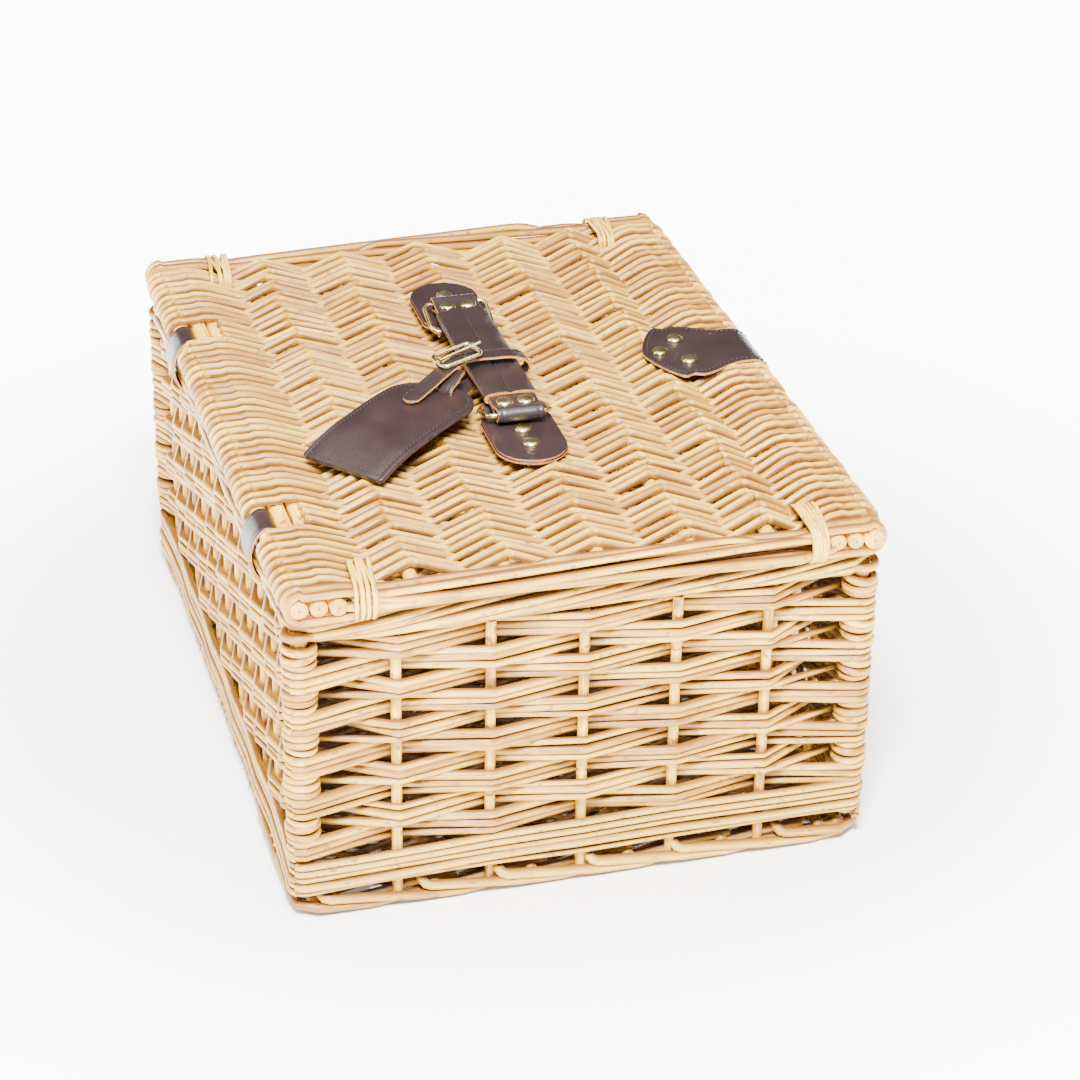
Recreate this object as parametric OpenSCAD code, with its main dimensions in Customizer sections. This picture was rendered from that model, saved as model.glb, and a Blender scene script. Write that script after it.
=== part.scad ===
// Willow picnic basket: woven body, hinged woven lid, leather handle, clasp, hinges and luggage tag.
// Millimetres. +Z is up, +X runs along the basket, the hinges are on the +Y side and the clasp on -Y.
// The origin is the middle of the base, on the surface that the basket stands on.

/* [Basket] */
// Length over the end walls
basket_l = 404; // [396:1:412]
// Width over the front and back walls
basket_w = 314; // [308:1:320]
// Height of the woven walls, below the top border
wall_top = 165; // [160:1:172]
// Thickness of a woven wall
wall_t = 14; // [13:0.5:15]
// Thickness of the woven base
base_t = 15; // [14:0.5:16]
// Radius of the top border bundle
border_r = 7.9; // [7.5:0.1:8]
// Radius of a wall stake
stake_r = 2.8; // [2.4:0.1:3]
// Radius of a corner post
post_r = 4.5; // [4:0.1:4.6]

/* [Lid] */
// Thickness of the woven lid
lid_t = 16; // [15:0.5:16]
// Gap between the top border and the lid
lid_gap = 1.5; // [1.4:0.1:2]
// Distance of the outer lid sticks from the middle line
outer_stick_y = 151.3; // [151:0.1:152]
// Radius of the rolled front and back edges of the lid
roll_r = 9; // [8.8:0.1:9]
// Radius of the hinge stick
hinge_stick_r = 4.5; // [4.2:0.1:4.5]

/* [Leather] */
// Thickness of one layer of strap leather
leather_t = 1.7; // [1.6:0.1:1.7]
// Width of a hinge strap
hinge_strap_w = 22; // [18:1:22]
// Width of the clasp strap where it leaves the lid
clasp_w = 42; // [36:1:42]
// Width of the tag strap
tag_strap_w = 10; // [8:0.5:10]

/* [Handle] */
// Middle of the handle along the lid
handle_x = 13; // [10:1:16]
// Middle of the handle across the lid
handle_y = -1.5; // [-2:0.5:-1]
// Length of the grip
grip_l = 109; // [108:0.5:109]
// Width of the grip
grip_w = 30; // [28:1:30]
// Thickness of the grip
grip_t = 8; // [7:0.5:8]
// Radius of the ring wire
ring_wire_r = 1.4; // [1.2:0.1:1.4]

/* [Hidden] */
$fn = 48;
fit = 0.1;
wall_x = basket_l / 2 - wall_t / 2;
wall_y = basket_w / 2 - wall_t / 2;

// Corner posts, the knobs of willow that wrap them, and the walls between the knobs
wrap_r = 7.6;
knob_r = 9;
knob_h = 14;
knob_pitch = 25.5;
knob_n = 5;
foot_h = 25;
foot_t = 13.7;
gap = 0.3;
wall_bottom = foot_h + gap;
stakes_long = [for (i = [-5:5]) 34 * i];
stakes_end = [for (i = [-2:2]) 50 * i];
base_stick_y = [-138, -80, -27, 27, 80, 138];
base_stick_r = 4;
base_stick_l = 396;

// The top border, with slimmer end runs so that the corners mitre cleanly
border_z = wall_top + border_r;
end_border_r = border_r - 0.2;
border_tip = 2.4;

// Lid levels and its sticks
lid_z0 = border_z + border_r + lid_gap;
lid_z = lid_z0 + lid_t / 2;
lid_top = lid_z0 + lid_t;
lid_half_l = wall_x;
stick_tip_x = 207.5;
back_stick_y = [139.4, 129.8];
mid_stick_y = [90, 42, -8, -57, -97];
mid_stick_r = 3.5;
front_stick_y = [-141.5, -132.5];
front_stick_r = 4.2;
front_outer_r = 5.2;
lid_border_x = 201.8;
lid_border_r = 6.2;
lid_border_y = [-127.5, 125];
binding_y = [[112, 121], [-126, -117]];
binding_leg_x = 174.6;
binding_t = 1.1;
binding_out_x = 209.3;
binding_z = [lid_z0 - 1.2, lid_top + 1.3];

// Hinge straps: round the outer back stick and round the top border
hinge_x = [-119, 107.5];
hinge_notch_w = hinge_strap_w + 4;
hinge_notch_y = 141.5;
stick_c = [outer_stick_y, lid_z];
border_c = [wall_y, border_z];
strap_stick_r = hinge_stick_r + fit;
strap_border_r = border_r + 0.15;
bulge_c = [140.7, 179.7];
bulge_r = 21.27;
tail_a = [165, 228];

// Leather parts on the lid lie a little above the weave
tab_z = lid_top + 1.2;
tab_t = 3.2;
tab_half_w = 19.5;
tab_neck_w = 15;
tab_loop_w = 12.6;
tab_tip = 115.5;
loop_u = 49.4;
loop_z = lid_top + 4.35;
loop_r = 3.05;
tab_rivet_u = [79, 96];
head_r = 4.2;
shank_r = 1.9;

// Grip, its tongues and the rings
grip_z = 210;
cover_t = 1.6;
tongue_w = 26;
eye_u = 72.65;
eye_z = 209.3;
eye_r = 4.3;
eye_bore_r = 2.5;
tongue_z = [207.6, 212];
tongue_rivet_u = 63.1;
tongue_rivet_v = 6;
ring_w = 36;
ring_corner_r = 5;

// Clasp: flap on the lid, strap that swings, turn button on the front wall
clasp_x = 10;
flap_z = lid_top + 1.2;
flap_t = 1.8;
flap_in_r = flap_z - lid_z;
clasp_pivot = [-(outer_stick_y + flap_in_r + flap_t / 2), lid_z - 0.7];
clasp_rest_a = 9;
clasp_l = 78;
clasp_end_w = 30;
button_z = 130;
slot_l = 16.6;
slot_w = 6.2;
button_r = 2;
patch_y = -(basket_w / 2 + 0.1);
patch_t = 1.6;
plate_t = 0.8;
plate_y = patch_y - patch_t - 0.1;
patch_w = 46;
patch_h = 44;
patch_rivet = [17, 16];

// Luggage tag: its own frame starts at the round end and runs along its length
tag_p = [-18, 25, 0];
tag_a = 131;
tag_l = 103;
tag_w = 52;
tag_t = 3;
tag_arch_r = 247;
tag_arch_c = [39.95, -37.4];
tag_slot = [8.5, 12];
tag_slot_w = 13.6;
tag_pivot = [4.3, 207];

// Tag strap: a band round the grip, a leg down through the tag's slot, and a free tail
loop_x = -4;
strap_top_z = 217.5;
strap_low_z = 204.6;
turn_r = 5.8;
tail_p = [-7, 20, 0];
tail_l = 48;
tail_round = tag_strap_w / 2 + 0.3;
frame_p = [-7.5, 20.5, 222];
frame_a = [0, 7, 105.6];
frame_l = 24;
frame_w = 15;
frame_wire_r = 1.2;

willow = [0.86, 0.70, 0.46];
willow_dark = [0.74, 0.57, 0.34];
leather = [0.24, 0.17, 0.16];
brass = [0.83, 0.74, 0.45];

// Points on an arc, and a band of even thickness along a path of points
function arc(c, r, a0, a1, n = 12) =
    [for (i = [0:n]) c + r * [cos(a0 + (a1 - a0) * i / n), sin(a0 + (a1 - a0) * i / n)]];
function unit(v) = v / norm(v);
function side_of(p, i) =
    let (a = p[max(i - 1, 0)], b = p[min(i + 1, len(p) - 1)], d = unit(b - a)) [-d[1], d[0]];
function band(p, t) = concat(
    [for (i = [0:len(p) - 1]) p[i] + side_of(p, i) * t / 2],
    [for (i = [len(p) - 1:-1:0]) p[i] - side_of(p, i) * t / 2]);
function stadium(w, h) = concat(
    arc([w / 2 - h / 2, 0], h / 2, -90, 90),
    arc([-w / 2 + h / 2, 0], h / 2, 90, 270));
function mirrored(p) = concat(p, [for (i = [len(p) - 1:-1:0]) [-p[i][0], p[i][1]]]);

// Profiles extruded along X (the profile is drawn in Y and Z) and along Y (drawn in X and Z)
module along_x(x0, x1) translate([x0, 0, 0]) rotate([90, 0, 90]) linear_extrude(x1 - x0) children();
module along_y(y0, y1) translate([0, y1, 0]) rotate([90, 0, 0]) linear_extrude(y1 - y0) children();
module rod_x(x0, x1, y, z, r) translate([x0, y, z]) rotate([0, 90, 0]) cylinder(r = r, h = x1 - x0);
module rod_y(y0, y1, x, z, r) translate([x, y1, z]) rotate([90, 0, 0]) cylinder(r = r, h = y1 - y0);
module rod_z(z0, z1, x, y, r) translate([x, y, z0]) cylinder(r = r, h = z1 - z0);

// Rivet with its domed head above z = 0, a shank through `depth`, and a flat foot below
module rivet(depth, r = head_r, foot_r = 3.4) {
    dome_h = 0.42 * r;
    ball_r = (r * r + dome_h * dome_h) / (2 * dome_h);
    rotate_extrude() polygon(concat([[0, 0]],
        arc([0, dome_h - ball_r], ball_r, 90 - asin(r / ball_r), 90, 5)));
    translate([0, 0, -depth - 0.2]) cylinder(r = shank_r, h = depth + 0.3);
    translate([0, 0, -depth - 1.2]) cylinder(r = foot_r, h = 1.1);
}

// Base and foot
module base_profile() polygon(stadium(basket_w, base_t));

module base_weave() color(willow) difference() {
    translate([0, 0, base_t / 2]) along_x(-188, 188) base_profile();
    for (y = base_stick_y) rod_x(-189, 189, y, base_t / 2, base_stick_r + fit);
    for (x = stakes_long, y = [-wall_y, wall_y]) rod_z(4, base_t + 1, x, y, stake_r + fit);
}

module base_sticks() color(willow_dark)
    for (y = base_stick_y) rod_x(-base_stick_l / 2, base_stick_l / 2, y, base_t / 2, base_stick_r);

module foot_border(s) color(willow) difference() {
    foot_x = basket_l / 2 - foot_t / 2;
    linear_extrude(foot_h) translate([s * foot_x, 0]) polygon([for (p = stadium(basket_w, foot_t)) [p[1], p[0]]]);
    for (y = base_stick_y) rod_x(-base_stick_l / 2 - fit, base_stick_l / 2 + fit, y, base_t / 2, base_stick_r + fit);
    for (y = stakes_end) rod_z(6, foot_h + 1, s * wall_x, y, stake_r + fit);
    for (y = [-wall_y, wall_y]) rod_z(16, foot_h + 1, s * wall_x, y, post_r + fit);
}

// Corner posts and the willow wrapped round them
module corner_post(sx, sy) color(willow_dark)
    rod_z(16 + fit, border_z, sx * wall_x, sy * wall_y, post_r);

module corner_wrap(sx, sy) color(willow) translate([sx * wall_x, sy * wall_y, 0]) difference() {
    union() {
        rod_z(wall_bottom, wall_top - gap, 0, 0, wrap_r);
        for (i = [0:knob_n - 1])
            translate([0, 0, wall_bottom + 4 + i * (knob_pitch + 1.4)]) cylinder(r = knob_r, h = knob_h);
    }
    rod_z(wall_bottom - 1, wall_top + 1, 0, 0, post_r + fit);
}

// Woven walls, with a channel for each stake
module wall_end(s) color(willow) difference() {
    half = wall_y - knob_r - gap;
    translate([s * wall_x - wall_t / 2, -half, wall_bottom]) cube([wall_t, 2 * half, wall_top - gap - wall_bottom]);
    for (y = stakes_end) rod_z(wall_bottom - 1, wall_top + 1, s * wall_x, y, stake_r + fit);
}

module wall_long(s) color(willow) difference() {
    half = wall_x - knob_r - gap;
    bottom = base_t + gap;
    translate([-half, s * wall_y - wall_t / 2, bottom]) cube([2 * half, wall_t, wall_top - gap - bottom]);
    for (x = stakes_long) rod_z(bottom - 1, wall_top + 1, x, s * wall_y, stake_r + fit);
    if (s > 0) for (x = hinge_x) {
        w = hinge_strap_w + 2;
        translate([x - w / 2, wall_y - wall_t, wall_top - 4]) cube([w, 2 * wall_t, 10]);
    }
    if (s < 0) {
        rod_y(-wall_y - wall_t, -wall_y + wall_t, clasp_x, button_z, 3.6);
        for (u = [-1, 1], v = [-1, 1])
            rod_y(-wall_y - wall_t, -wall_y + wall_t, clasp_x + u * patch_rivet[0], button_z + v * patch_rivet[1], shank_r + fit);
    }
}

module stakes_end_wall(s) color(willow_dark)
    for (y = stakes_end) rod_z(6 + fit, wall_top - gap, s * wall_x, y, stake_r);

module stakes_long_wall(s) color(willow_dark) difference() {
    for (x = stakes_long) rod_z(4 + fit, wall_top - gap, x, s * wall_y, stake_r);
    if (s > 0) for (x = hinge_x) {
        w = hinge_strap_w + 2;
        translate([x - w / 2, wall_y - wall_t, wall_top - 4]) cube([w, 2 * wall_t, 10]);
    }
}

module top_border() color(willow) difference() {
    union() {
        for (s = [-1, 1]) {
            rod_x(-wall_x - 5, wall_x + 5, s * wall_y, border_z, border_r);
            rod_y(-wall_y, wall_y, s * wall_x, border_z, end_border_r);
            for (t = [-1, 1]) translate([t * (wall_x + 5), s * wall_y, border_z]) rotate([0, t * 90, 0])
                cylinder(r1 = border_r, r2 = border_r - border_tip, h = border_tip);
        }
    }
    for (sx = [-1, 1], sy = [-1, 1]) rod_z(wall_top - 1, border_z + fit, sx * wall_x, sy * wall_y, post_r + fit);
}

// Hinge strap in the YZ plane: hugs the stick from the inside over the top, bulges outwards, goes
// under the border and comes back up on the inside, where its end is doubled and riveted
function tangent_a(r1, r2) = let (d = border_c - stick_c, a = atan2(d[1], d[0])) a - acos((r1 - r2) / norm(d)) + 360;
function strap_outline(t) =
    let (r1 = strap_stick_r + t, r2 = strap_border_r + t, a = tangent_a(r1, r2))
    concat(arc(stick_c, r1, a, 45), arc(bulge_c, bulge_r - leather_t + t, 45, -36),
        arc(border_c, r2, -36, a - 360, 20));

module hinge_strap(i) color(leather) translate([hinge_x[i], 0, 0]) difference() {
    half = hinge_strap_w / 2;
    along_x(-half, half) difference() {
        union() {
            polygon(strap_outline(leather_t));
            polygon(concat([border_c], arc(border_c, strap_border_r + 2 * leather_t, tail_a[0], tail_a[1])));
        }
        polygon(strap_outline(0));
    }
    rod_x(-half - 1, half + 1, stick_c[0], stick_c[1], strap_stick_r);
    translate([0, wall_y, border_z]) rotate([95, 0, 0]) translate([0, 0, border_r]) cylinder(r = shank_r + fit, h = 8);
}

module hinge_rivets() color(brass) for (x = hinge_x) translate([x, wall_y, border_z]) rotate([95, 0, 0])
    translate([0, 0, strap_border_r + 2 * leather_t + fit]) {
        rivet(0, 3.4, 0.5);
        translate([0, 0, -2 * leather_t]) cylinder(r = shank_r, h = 2 * leather_t + 0.2);
    }

// Leather patch and brass lock plate on the front wall
module wall_patch() color(leather) difference() {
    translate([clasp_x, 0, button_z]) along_y(patch_y - patch_t, patch_y)
        polygon(mirrored(concat([[0, -patch_h / 2]], arc([patch_w / 2 - 6, -patch_h / 2 + 6], 6, -90, 0, 6),
            arc([patch_w / 2 - 6, patch_h / 2 - 6], 6, 0, 90, 6), [[0, patch_h / 2]])));
    rod_y(patch_y - 5, patch_y + 5, clasp_x, button_z, 3.6);
    for (u = [-1, 1], v = [-1, 1])
        rod_y(patch_y - 5, patch_y + 5, clasp_x + u * patch_rivet[0], button_z + v * patch_rivet[1], shank_r + fit);
}

module wall_patch_rivets() color(brass) for (u = [-1, 1], v = [-1, 1])
    translate([clasp_x + u * patch_rivet[0], patch_y - patch_t - fit, button_z + v * patch_rivet[1]])
        rotate([90, 0, 0]) rivet(patch_t + wall_t + 0.2, 3.3);

module lock_plate() color(brass) translate([clasp_x, 0, button_z]) difference() {
    along_y(plate_y - plate_t, plate_y) polygon(stadium(26, 14));
    rod_y(plate_y - 3, plate_y + 3, 0, 0, button_r + 0.05);
}

// Lid
function lid_outline() = let (a = 180 - asin(lid_t / 2 / roll_r)) concat(
    arc([outer_stick_y, lid_z], roll_r, -a, a, 16),
    arc([-outer_stick_y, lid_z], roll_r, 180 - a, 180 + a, 16));

module lid_weave() color(willow) difference() {
    along_x(-lid_half_l, lid_half_l) polygon(lid_outline());
    rod_x(-200, 200, outer_stick_y, lid_z, hinge_stick_r + fit);
    for (y = back_stick_y) rod_x(-200, 200, y, lid_z, hinge_stick_r + fit);
    for (y = mid_stick_y) rod_x(-200, 200, y, lid_z, mid_stick_r + fit);
    for (y = front_stick_y) rod_x(-200, 200, y, lid_z, front_stick_r + fit);
    rod_x(-200, 200, -outer_stick_y, lid_z, front_outer_r + fit);
    for (x = hinge_x) translate([x - hinge_notch_w / 2, hinge_notch_y, lid_z - 20]) cube([hinge_notch_w, 40, 40]);
    for (s = [-1, 1], b = binding_y)
        translate([s * (binding_leg_x + binding_t / 2) - 0.75, b[0] - 0.2, lid_z - 20]) cube([1.5, b[1] - b[0] + 0.4, 40]);
    for (s = [-1, 1], u = tab_rivet_u) rod_z(lid_z - 20, lid_z + 20, handle_x + s * u, handle_y, shank_r + fit);
    for (p = flap_rivets) rod_z(lid_z - 20, lid_z + 20, clasp_x + p[0], p[1], shank_r + fit);
}

module lid_hinge_stick() color(willow_dark)
    rod_x(-stick_tip_x, stick_tip_x, outer_stick_y, lid_z, hinge_stick_r);

module lid_sticks_back() color(willow_dark)
    for (y = back_stick_y) rod_x(-stick_tip_x, stick_tip_x, y, lid_z, hinge_stick_r);

module lid_sticks_mid() color(willow_dark)
    for (y = mid_stick_y) rod_x(-lid_half_l + fit, lid_half_l - fit, y, lid_z, mid_stick_r);

module lid_sticks_front() color(willow_dark) {
    rod_x(-stick_tip_x, stick_tip_x, -outer_stick_y, lid_z, front_outer_r);
    for (y = front_stick_y) rod_x(-stick_tip_x, stick_tip_x, y, lid_z, front_stick_r);
}

module lid_border(s) color(willow)
    rod_y(lid_border_y[0], lid_border_y[1], s * lid_border_x, lid_z, lid_border_r);

module lid_binding(sx, i) color(willow) mirror([sx < 0 ? 1 : 0, 0, 0]) along_y(binding_y[i][0], binding_y[i][1])
    difference() {
        translate([binding_leg_x, binding_z[0]]) square([binding_out_x - binding_leg_x, binding_z[1] - binding_z[0]]);
        translate([binding_leg_x + binding_t, lid_z0 - 0.15])
            square([binding_out_x - binding_leg_x - 2 * binding_t, lid_t + 0.35]);
    }

// Handle: things on the right half are mirrored for the left half
module handle_side(s) translate([handle_x, handle_y, 0]) mirror([s < 0 ? 1 : 0, 0, 0]) children();

module handle_tab(s) color(leather) handle_side(s) difference() {
    union() {
        translate([0, 0, tab_z]) linear_extrude(tab_t) polygon(concat(
            [[loop_u, -tab_loop_w], [56, -tab_loop_w], [58, -tab_neck_w], [64, -tab_half_w]],
            arc([tab_tip - tab_half_w, 0], tab_half_w, -90, 90, 16),
            [[64, tab_half_w], [58, tab_neck_w], [56, tab_loop_w], [loop_u, tab_loop_w]]));
        rod_y(-tab_loop_w, tab_loop_w, loop_u, loop_z, loop_r);
    }
    rod_y(-30, 30, loop_u, loop_z, ring_wire_r + 0.2);
    for (u = tab_rivet_u) rod_z(tab_z - 5, tab_z + 9, u, 0, shank_r + fit);
}

module tab_rivets(s) color(brass) handle_side(s) for (u = tab_rivet_u)
    translate([u, 0, tab_z + tab_t + fit]) rivet(tab_t + 1.2 + lid_t + 0.2);

module grip_cover() color(leather) translate([handle_x, handle_y, grip_z]) along_x(-grip_l / 2, grip_l / 2)
    difference() {
        polygon(stadium(grip_w, grip_t));
        polygon(stadium(grip_w - 2 * cover_t, grip_t - 2 * cover_t));
    }

module grip_core() color(willow_dark) translate([handle_x, handle_y, grip_z])
    along_x(-grip_l / 2 + 1, grip_l / 2 - 1)
        polygon(stadium(grip_w - 2 * cover_t - 0.3, grip_t - 2 * cover_t - 0.3));

module tongue(s) color(leather) handle_side(s) difference() {
    union() {
        along_y(-tongue_w / 2, tongue_w / 2) polygon([[55.2, tongue_z[1]], [eye_u, tongue_z[1]],
            [eye_u, tongue_z[0]], [57.3, tongue_z[0]]]);
        rod_y(-tongue_w / 2, tongue_w / 2, eye_u, eye_z, eye_r);
    }
    rod_y(-30, 30, eye_u, eye_z, eye_bore_r);
    for (v = [-1, 1]) rod_z(200, 220, tongue_rivet_u, v * tongue_rivet_v, shank_r + fit);
}

module tongue_rivets(s) color(brass) handle_side(s) for (v = [-1, 1])
    translate([tongue_rivet_u, v * tongue_rivet_v, tongue_z[1] + fit])
        rivet(tongue_z[1] - tongue_z[0] + 0.2, head_r, 3);

// Wire ring with rounded corners, lying in its own XY plane from x = 0 to x = l
module wire_frame(l, w, c, r) {
    for (x = [0, l]) rod_y(-w / 2 + c, w / 2 - c, x, 0, r);
    for (y = [-w / 2, w / 2]) rod_x(c, l - c, y, 0, r);
    for (x = [0, 1], y = [0, 1]) translate([c + x * (l - 2 * c), (y * 2 - 1) * (w / 2 - c), 0])
        rotate([0, 0, x == 1 ? (y == 1 ? 0 : 270) : (y == 1 ? 90 : 180)])
            rotate_extrude(angle = 90) translate([c, 0]) circle(r = r);
}

module ring(s) color(brass) handle_side(s) {
    rise = eye_z - loop_z;
    run = eye_u - loop_u;
    translate([loop_u, 0, loop_z]) rotate([0, -atan2(rise, run), 0])
        wire_frame(norm([rise, run]), ring_w, ring_corner_r, ring_wire_r);
}

// Clasp flap on the lid and over its front edge
flap_rivets = [[0, -103], [14, -116], [-14, -116]];
flap_half = [[0, -93], [11, -95.5], [23, -101.5], [32, -108], [29.5, -114], [32, -120], [27, -131],
    [clasp_w / 2, -141], [clasp_w / 2, -outer_stick_y]];

module clasp_flap() color(leather) translate([clasp_x, 0, 0]) difference() {
    union() {
        translate([0, 0, flap_z]) linear_extrude(flap_t) polygon(mirrored(flap_half));
        along_x(-clasp_w / 2, clasp_w / 2)
            polygon(concat(arc([-outer_stick_y, lid_z], flap_in_r + flap_t, 90, 176),
                arc([-outer_stick_y, lid_z], flap_in_r, 176, 90)));
    }
    for (p = flap_rivets) rod_z(flap_z - 5, flap_z + 5, p[0], p[1], shank_r + fit);
}

module clasp_flap_rivets() color(brass) for (p = flap_rivets)
    translate([clasp_x + p[0], p[1], flap_z + flap_t + fit]) rivet(flap_t + 1.2 + lid_t + 0.2);

// The clasp strap is drawn hanging straight down, then swung out from the wall
module clasp_swung() translate([clasp_x, clasp_pivot[0], clasp_pivot[1]]) rotate([-clasp_rest_a, 0, 0]) children();

module slot_shape(l, w) polygon([for (p = stadium(l, w)) [p[1], p[0]]]);

module clasp_strap() color(leather) clasp_swung() {
    slot_z = button_z - clasp_pivot[1];
    along_y(-flap_t / 2, flap_t / 2) difference() {
        polygon(mirrored(concat([[clasp_w / 2, -0.3], [clasp_end_w / 2, slot_z + 12]],
            arc([0, -clasp_l + clasp_end_w / 2], clasp_end_w / 2, 0, -90, 10))));
        translate([0, slot_z]) slot_shape(slot_l + 2.2, slot_w + 2.2);
    }
}

module clasp_eyelet() color(brass) clasp_swung() translate([0, 0, button_z - clasp_pivot[1]]) {
    along_y(flap_t / 2 + 0.05, flap_t / 2 + 0.5) difference() {
        slot_shape(slot_l + 7, slot_w + 7);
        slot_shape(slot_l, slot_w);
    }
    along_y(-flap_t / 2 - 0.7, flap_t / 2 + 0.2) difference() {
        slot_shape(slot_l + 2, slot_w + 2);
        slot_shape(slot_l, slot_w);
    }
    along_y(-flap_t / 2 - 0.7, -flap_t / 2 - 0.05) difference() {
        slot_shape(slot_l + 7, slot_w + 7);
        slot_shape(slot_l, slot_w);
    }
}

module turn_button() color(brass) translate([clasp_x, 0, button_z]) {
    bar_y = -163.6;
    rod_y(bar_y - 1, patch_y + 0.2, 0, 0, button_r);
    rod_y(patch_y - patch_t + 0.1, patch_y + 0.2, 0, 0, 3.2);
    along_y(bar_y - 2.8, bar_y) slot_shape(15, 4.6);
}

// Luggage tag and its strap
module tag_frame() translate(tag_p) rotate([0, 0, tag_a]) children();

module luggage_tag() color(leather) tag_frame() difference() {
    intersection() {
        translate([0, 0, 190]) linear_extrude(40) polygon(concat(
            arc([tag_w / 2, 0], tag_w / 2, 90, 270, 24),
            arc([tag_l - 2, -tag_w / 2 + 2], 2, -90, 0, 4),
            arc([tag_l - 2, tag_w / 2 - 2], 2, 0, 90, 4)));
        translate([tag_arch_c[0], tag_w, tag_arch_c[1]]) rotate([90, 0, 0]) difference() {
            cylinder(r = tag_arch_r + tag_t / 2, h = 2 * tag_w, $fn = 180);
            translate([0, 0, -1]) cylinder(r = tag_arch_r - tag_t / 2, h = 2 * tag_w + 2, $fn = 180);
        }
    }
    translate([tag_slot[0], -tag_slot_w / 2, 190]) cube([tag_slot[1] - tag_slot[0], tag_slot_w, 40]);
}

// Paths of the tag strap's three stretches, each in its own upright plane
strap_t = 1.6;
grip_path = concat([[17, strap_top_z], [-6, strap_top_z]], arc([-14.5, 211], 6.5, 60, 265, 14),
    [[-9, strap_low_z], [17, strap_low_z]]);
leg_path = concat([[-16.7, strap_low_z - 0.23], [-6, strap_low_z - 0.8]],
    arc([tag_pivot[0], tag_pivot[1]], turn_r, -100, 100, 14), [[-8, 215.6], [-16.3, strap_top_z - 0.31]]);
tail_path = [[-9, 218.4], [-3, 218.7], [8, 218], [20, 216.3], [34, 214.2], [tail_l, 213]];

module tag_strap() color(leather) {
    half = tag_strap_w / 2;
    along_x(loop_x - half, loop_x + half) polygon(band(grip_path, strap_t));
    tag_frame() along_y(-half, half) polygon(band(leg_path, strap_t));
    translate(tail_p) rotate([0, 0, tag_a]) difference() {
        along_y(-half, half) polygon(band(tail_path, strap_t));
        translate([tail_l - tail_round, 0, 200]) difference() {
            translate([0, -8, 0]) cube([9, 16, 30]);
            translate([0, 0, -1]) cylinder(r = tail_round, h = 32);
        }
    }
}

module buckle_place() translate(frame_p) rotate(frame_a) translate([-frame_l / 2, 0, 0]) children();

module tag_buckle_frame() color(brass) buckle_place() wire_frame(frame_l, frame_w, 3, frame_wire_r);

module tag_prong() color(brass) buckle_place() difference() {
    union() {
        rod_y(-1.3, 1.3, frame_l, 0, 2.1);
        translate([frame_l, 0, 0.6]) rotate([0, -86, 0]) cylinder(r = 0.9, h = frame_l + 3.5);
    }
    rod_y(-3, 3, frame_l, 0, frame_wire_r + 0.1);
}

base_weave();
base_sticks();
foot_border(-1);  // foot_border_left
foot_border(1);  // foot_border_right
corner_post(-1, 1);  // corner_post_back_left
corner_post(1, 1);  // corner_post_back_right
corner_post(-1, -1);  // corner_post_front_left
corner_post(1, -1);  // corner_post_front_right
corner_wrap(-1, 1);  // corner_wrap_back_left
corner_wrap(1, 1);  // corner_wrap_back_right
corner_wrap(-1, -1);  // corner_wrap_front_left
corner_wrap(1, -1);  // corner_wrap_front_right
wall_end(-1);  // wall_left
wall_end(1);  // wall_right
wall_long(-1);  // wall_front
wall_long(1);  // wall_back
stakes_end_wall(-1);  // stakes_left
stakes_end_wall(1);  // stakes_right
stakes_long_wall(-1);  // stakes_front
stakes_long_wall(1);  // stakes_back
top_border();
hinge_strap(0);  // hinge_strap_left
hinge_strap(1);  // hinge_strap_right
hinge_rivets();
wall_patch();
wall_patch_rivets();
lock_plate();
lid_weave();
lid_hinge_stick();
lid_sticks_back();
lid_sticks_mid();
lid_sticks_front();
lid_border(-1);  // lid_border_left
lid_border(1);  // lid_border_right
lid_binding(-1, 0);  // lid_binding_back_left
lid_binding(1, 0);  // lid_binding_back_right
lid_binding(-1, 1);  // lid_binding_front_left
lid_binding(1, 1);  // lid_binding_front_right
handle_tab(-1);  // handle_tab_left
handle_tab(1);  // handle_tab_right
tab_rivets(-1);  // tab_rivets_left
tab_rivets(1);  // tab_rivets_right
clasp_flap();
clasp_flap_rivets();
clasp_strap();
clasp_eyelet();
turn_button();
grip_cover();
grip_core();
tongue(-1);  // tongue_left
tongue(1);  // tongue_right
tongue_rivets(-1);  // tongue_rivets_left
tongue_rivets(1);  // tongue_rivets_right
ring(-1);  // ring_left
ring(1);  // ring_right
tag_strap();
tag_buckle_frame();
tag_prong();
luggage_tag();
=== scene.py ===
"""Looks of the wicker picnic basket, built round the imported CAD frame.

Shapes are worked out in millimetres and turned into metres when a mesh is made.
"""
import math
import random

import bpy
import numpy as np
from mathutils import Matrix, Vector


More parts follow.
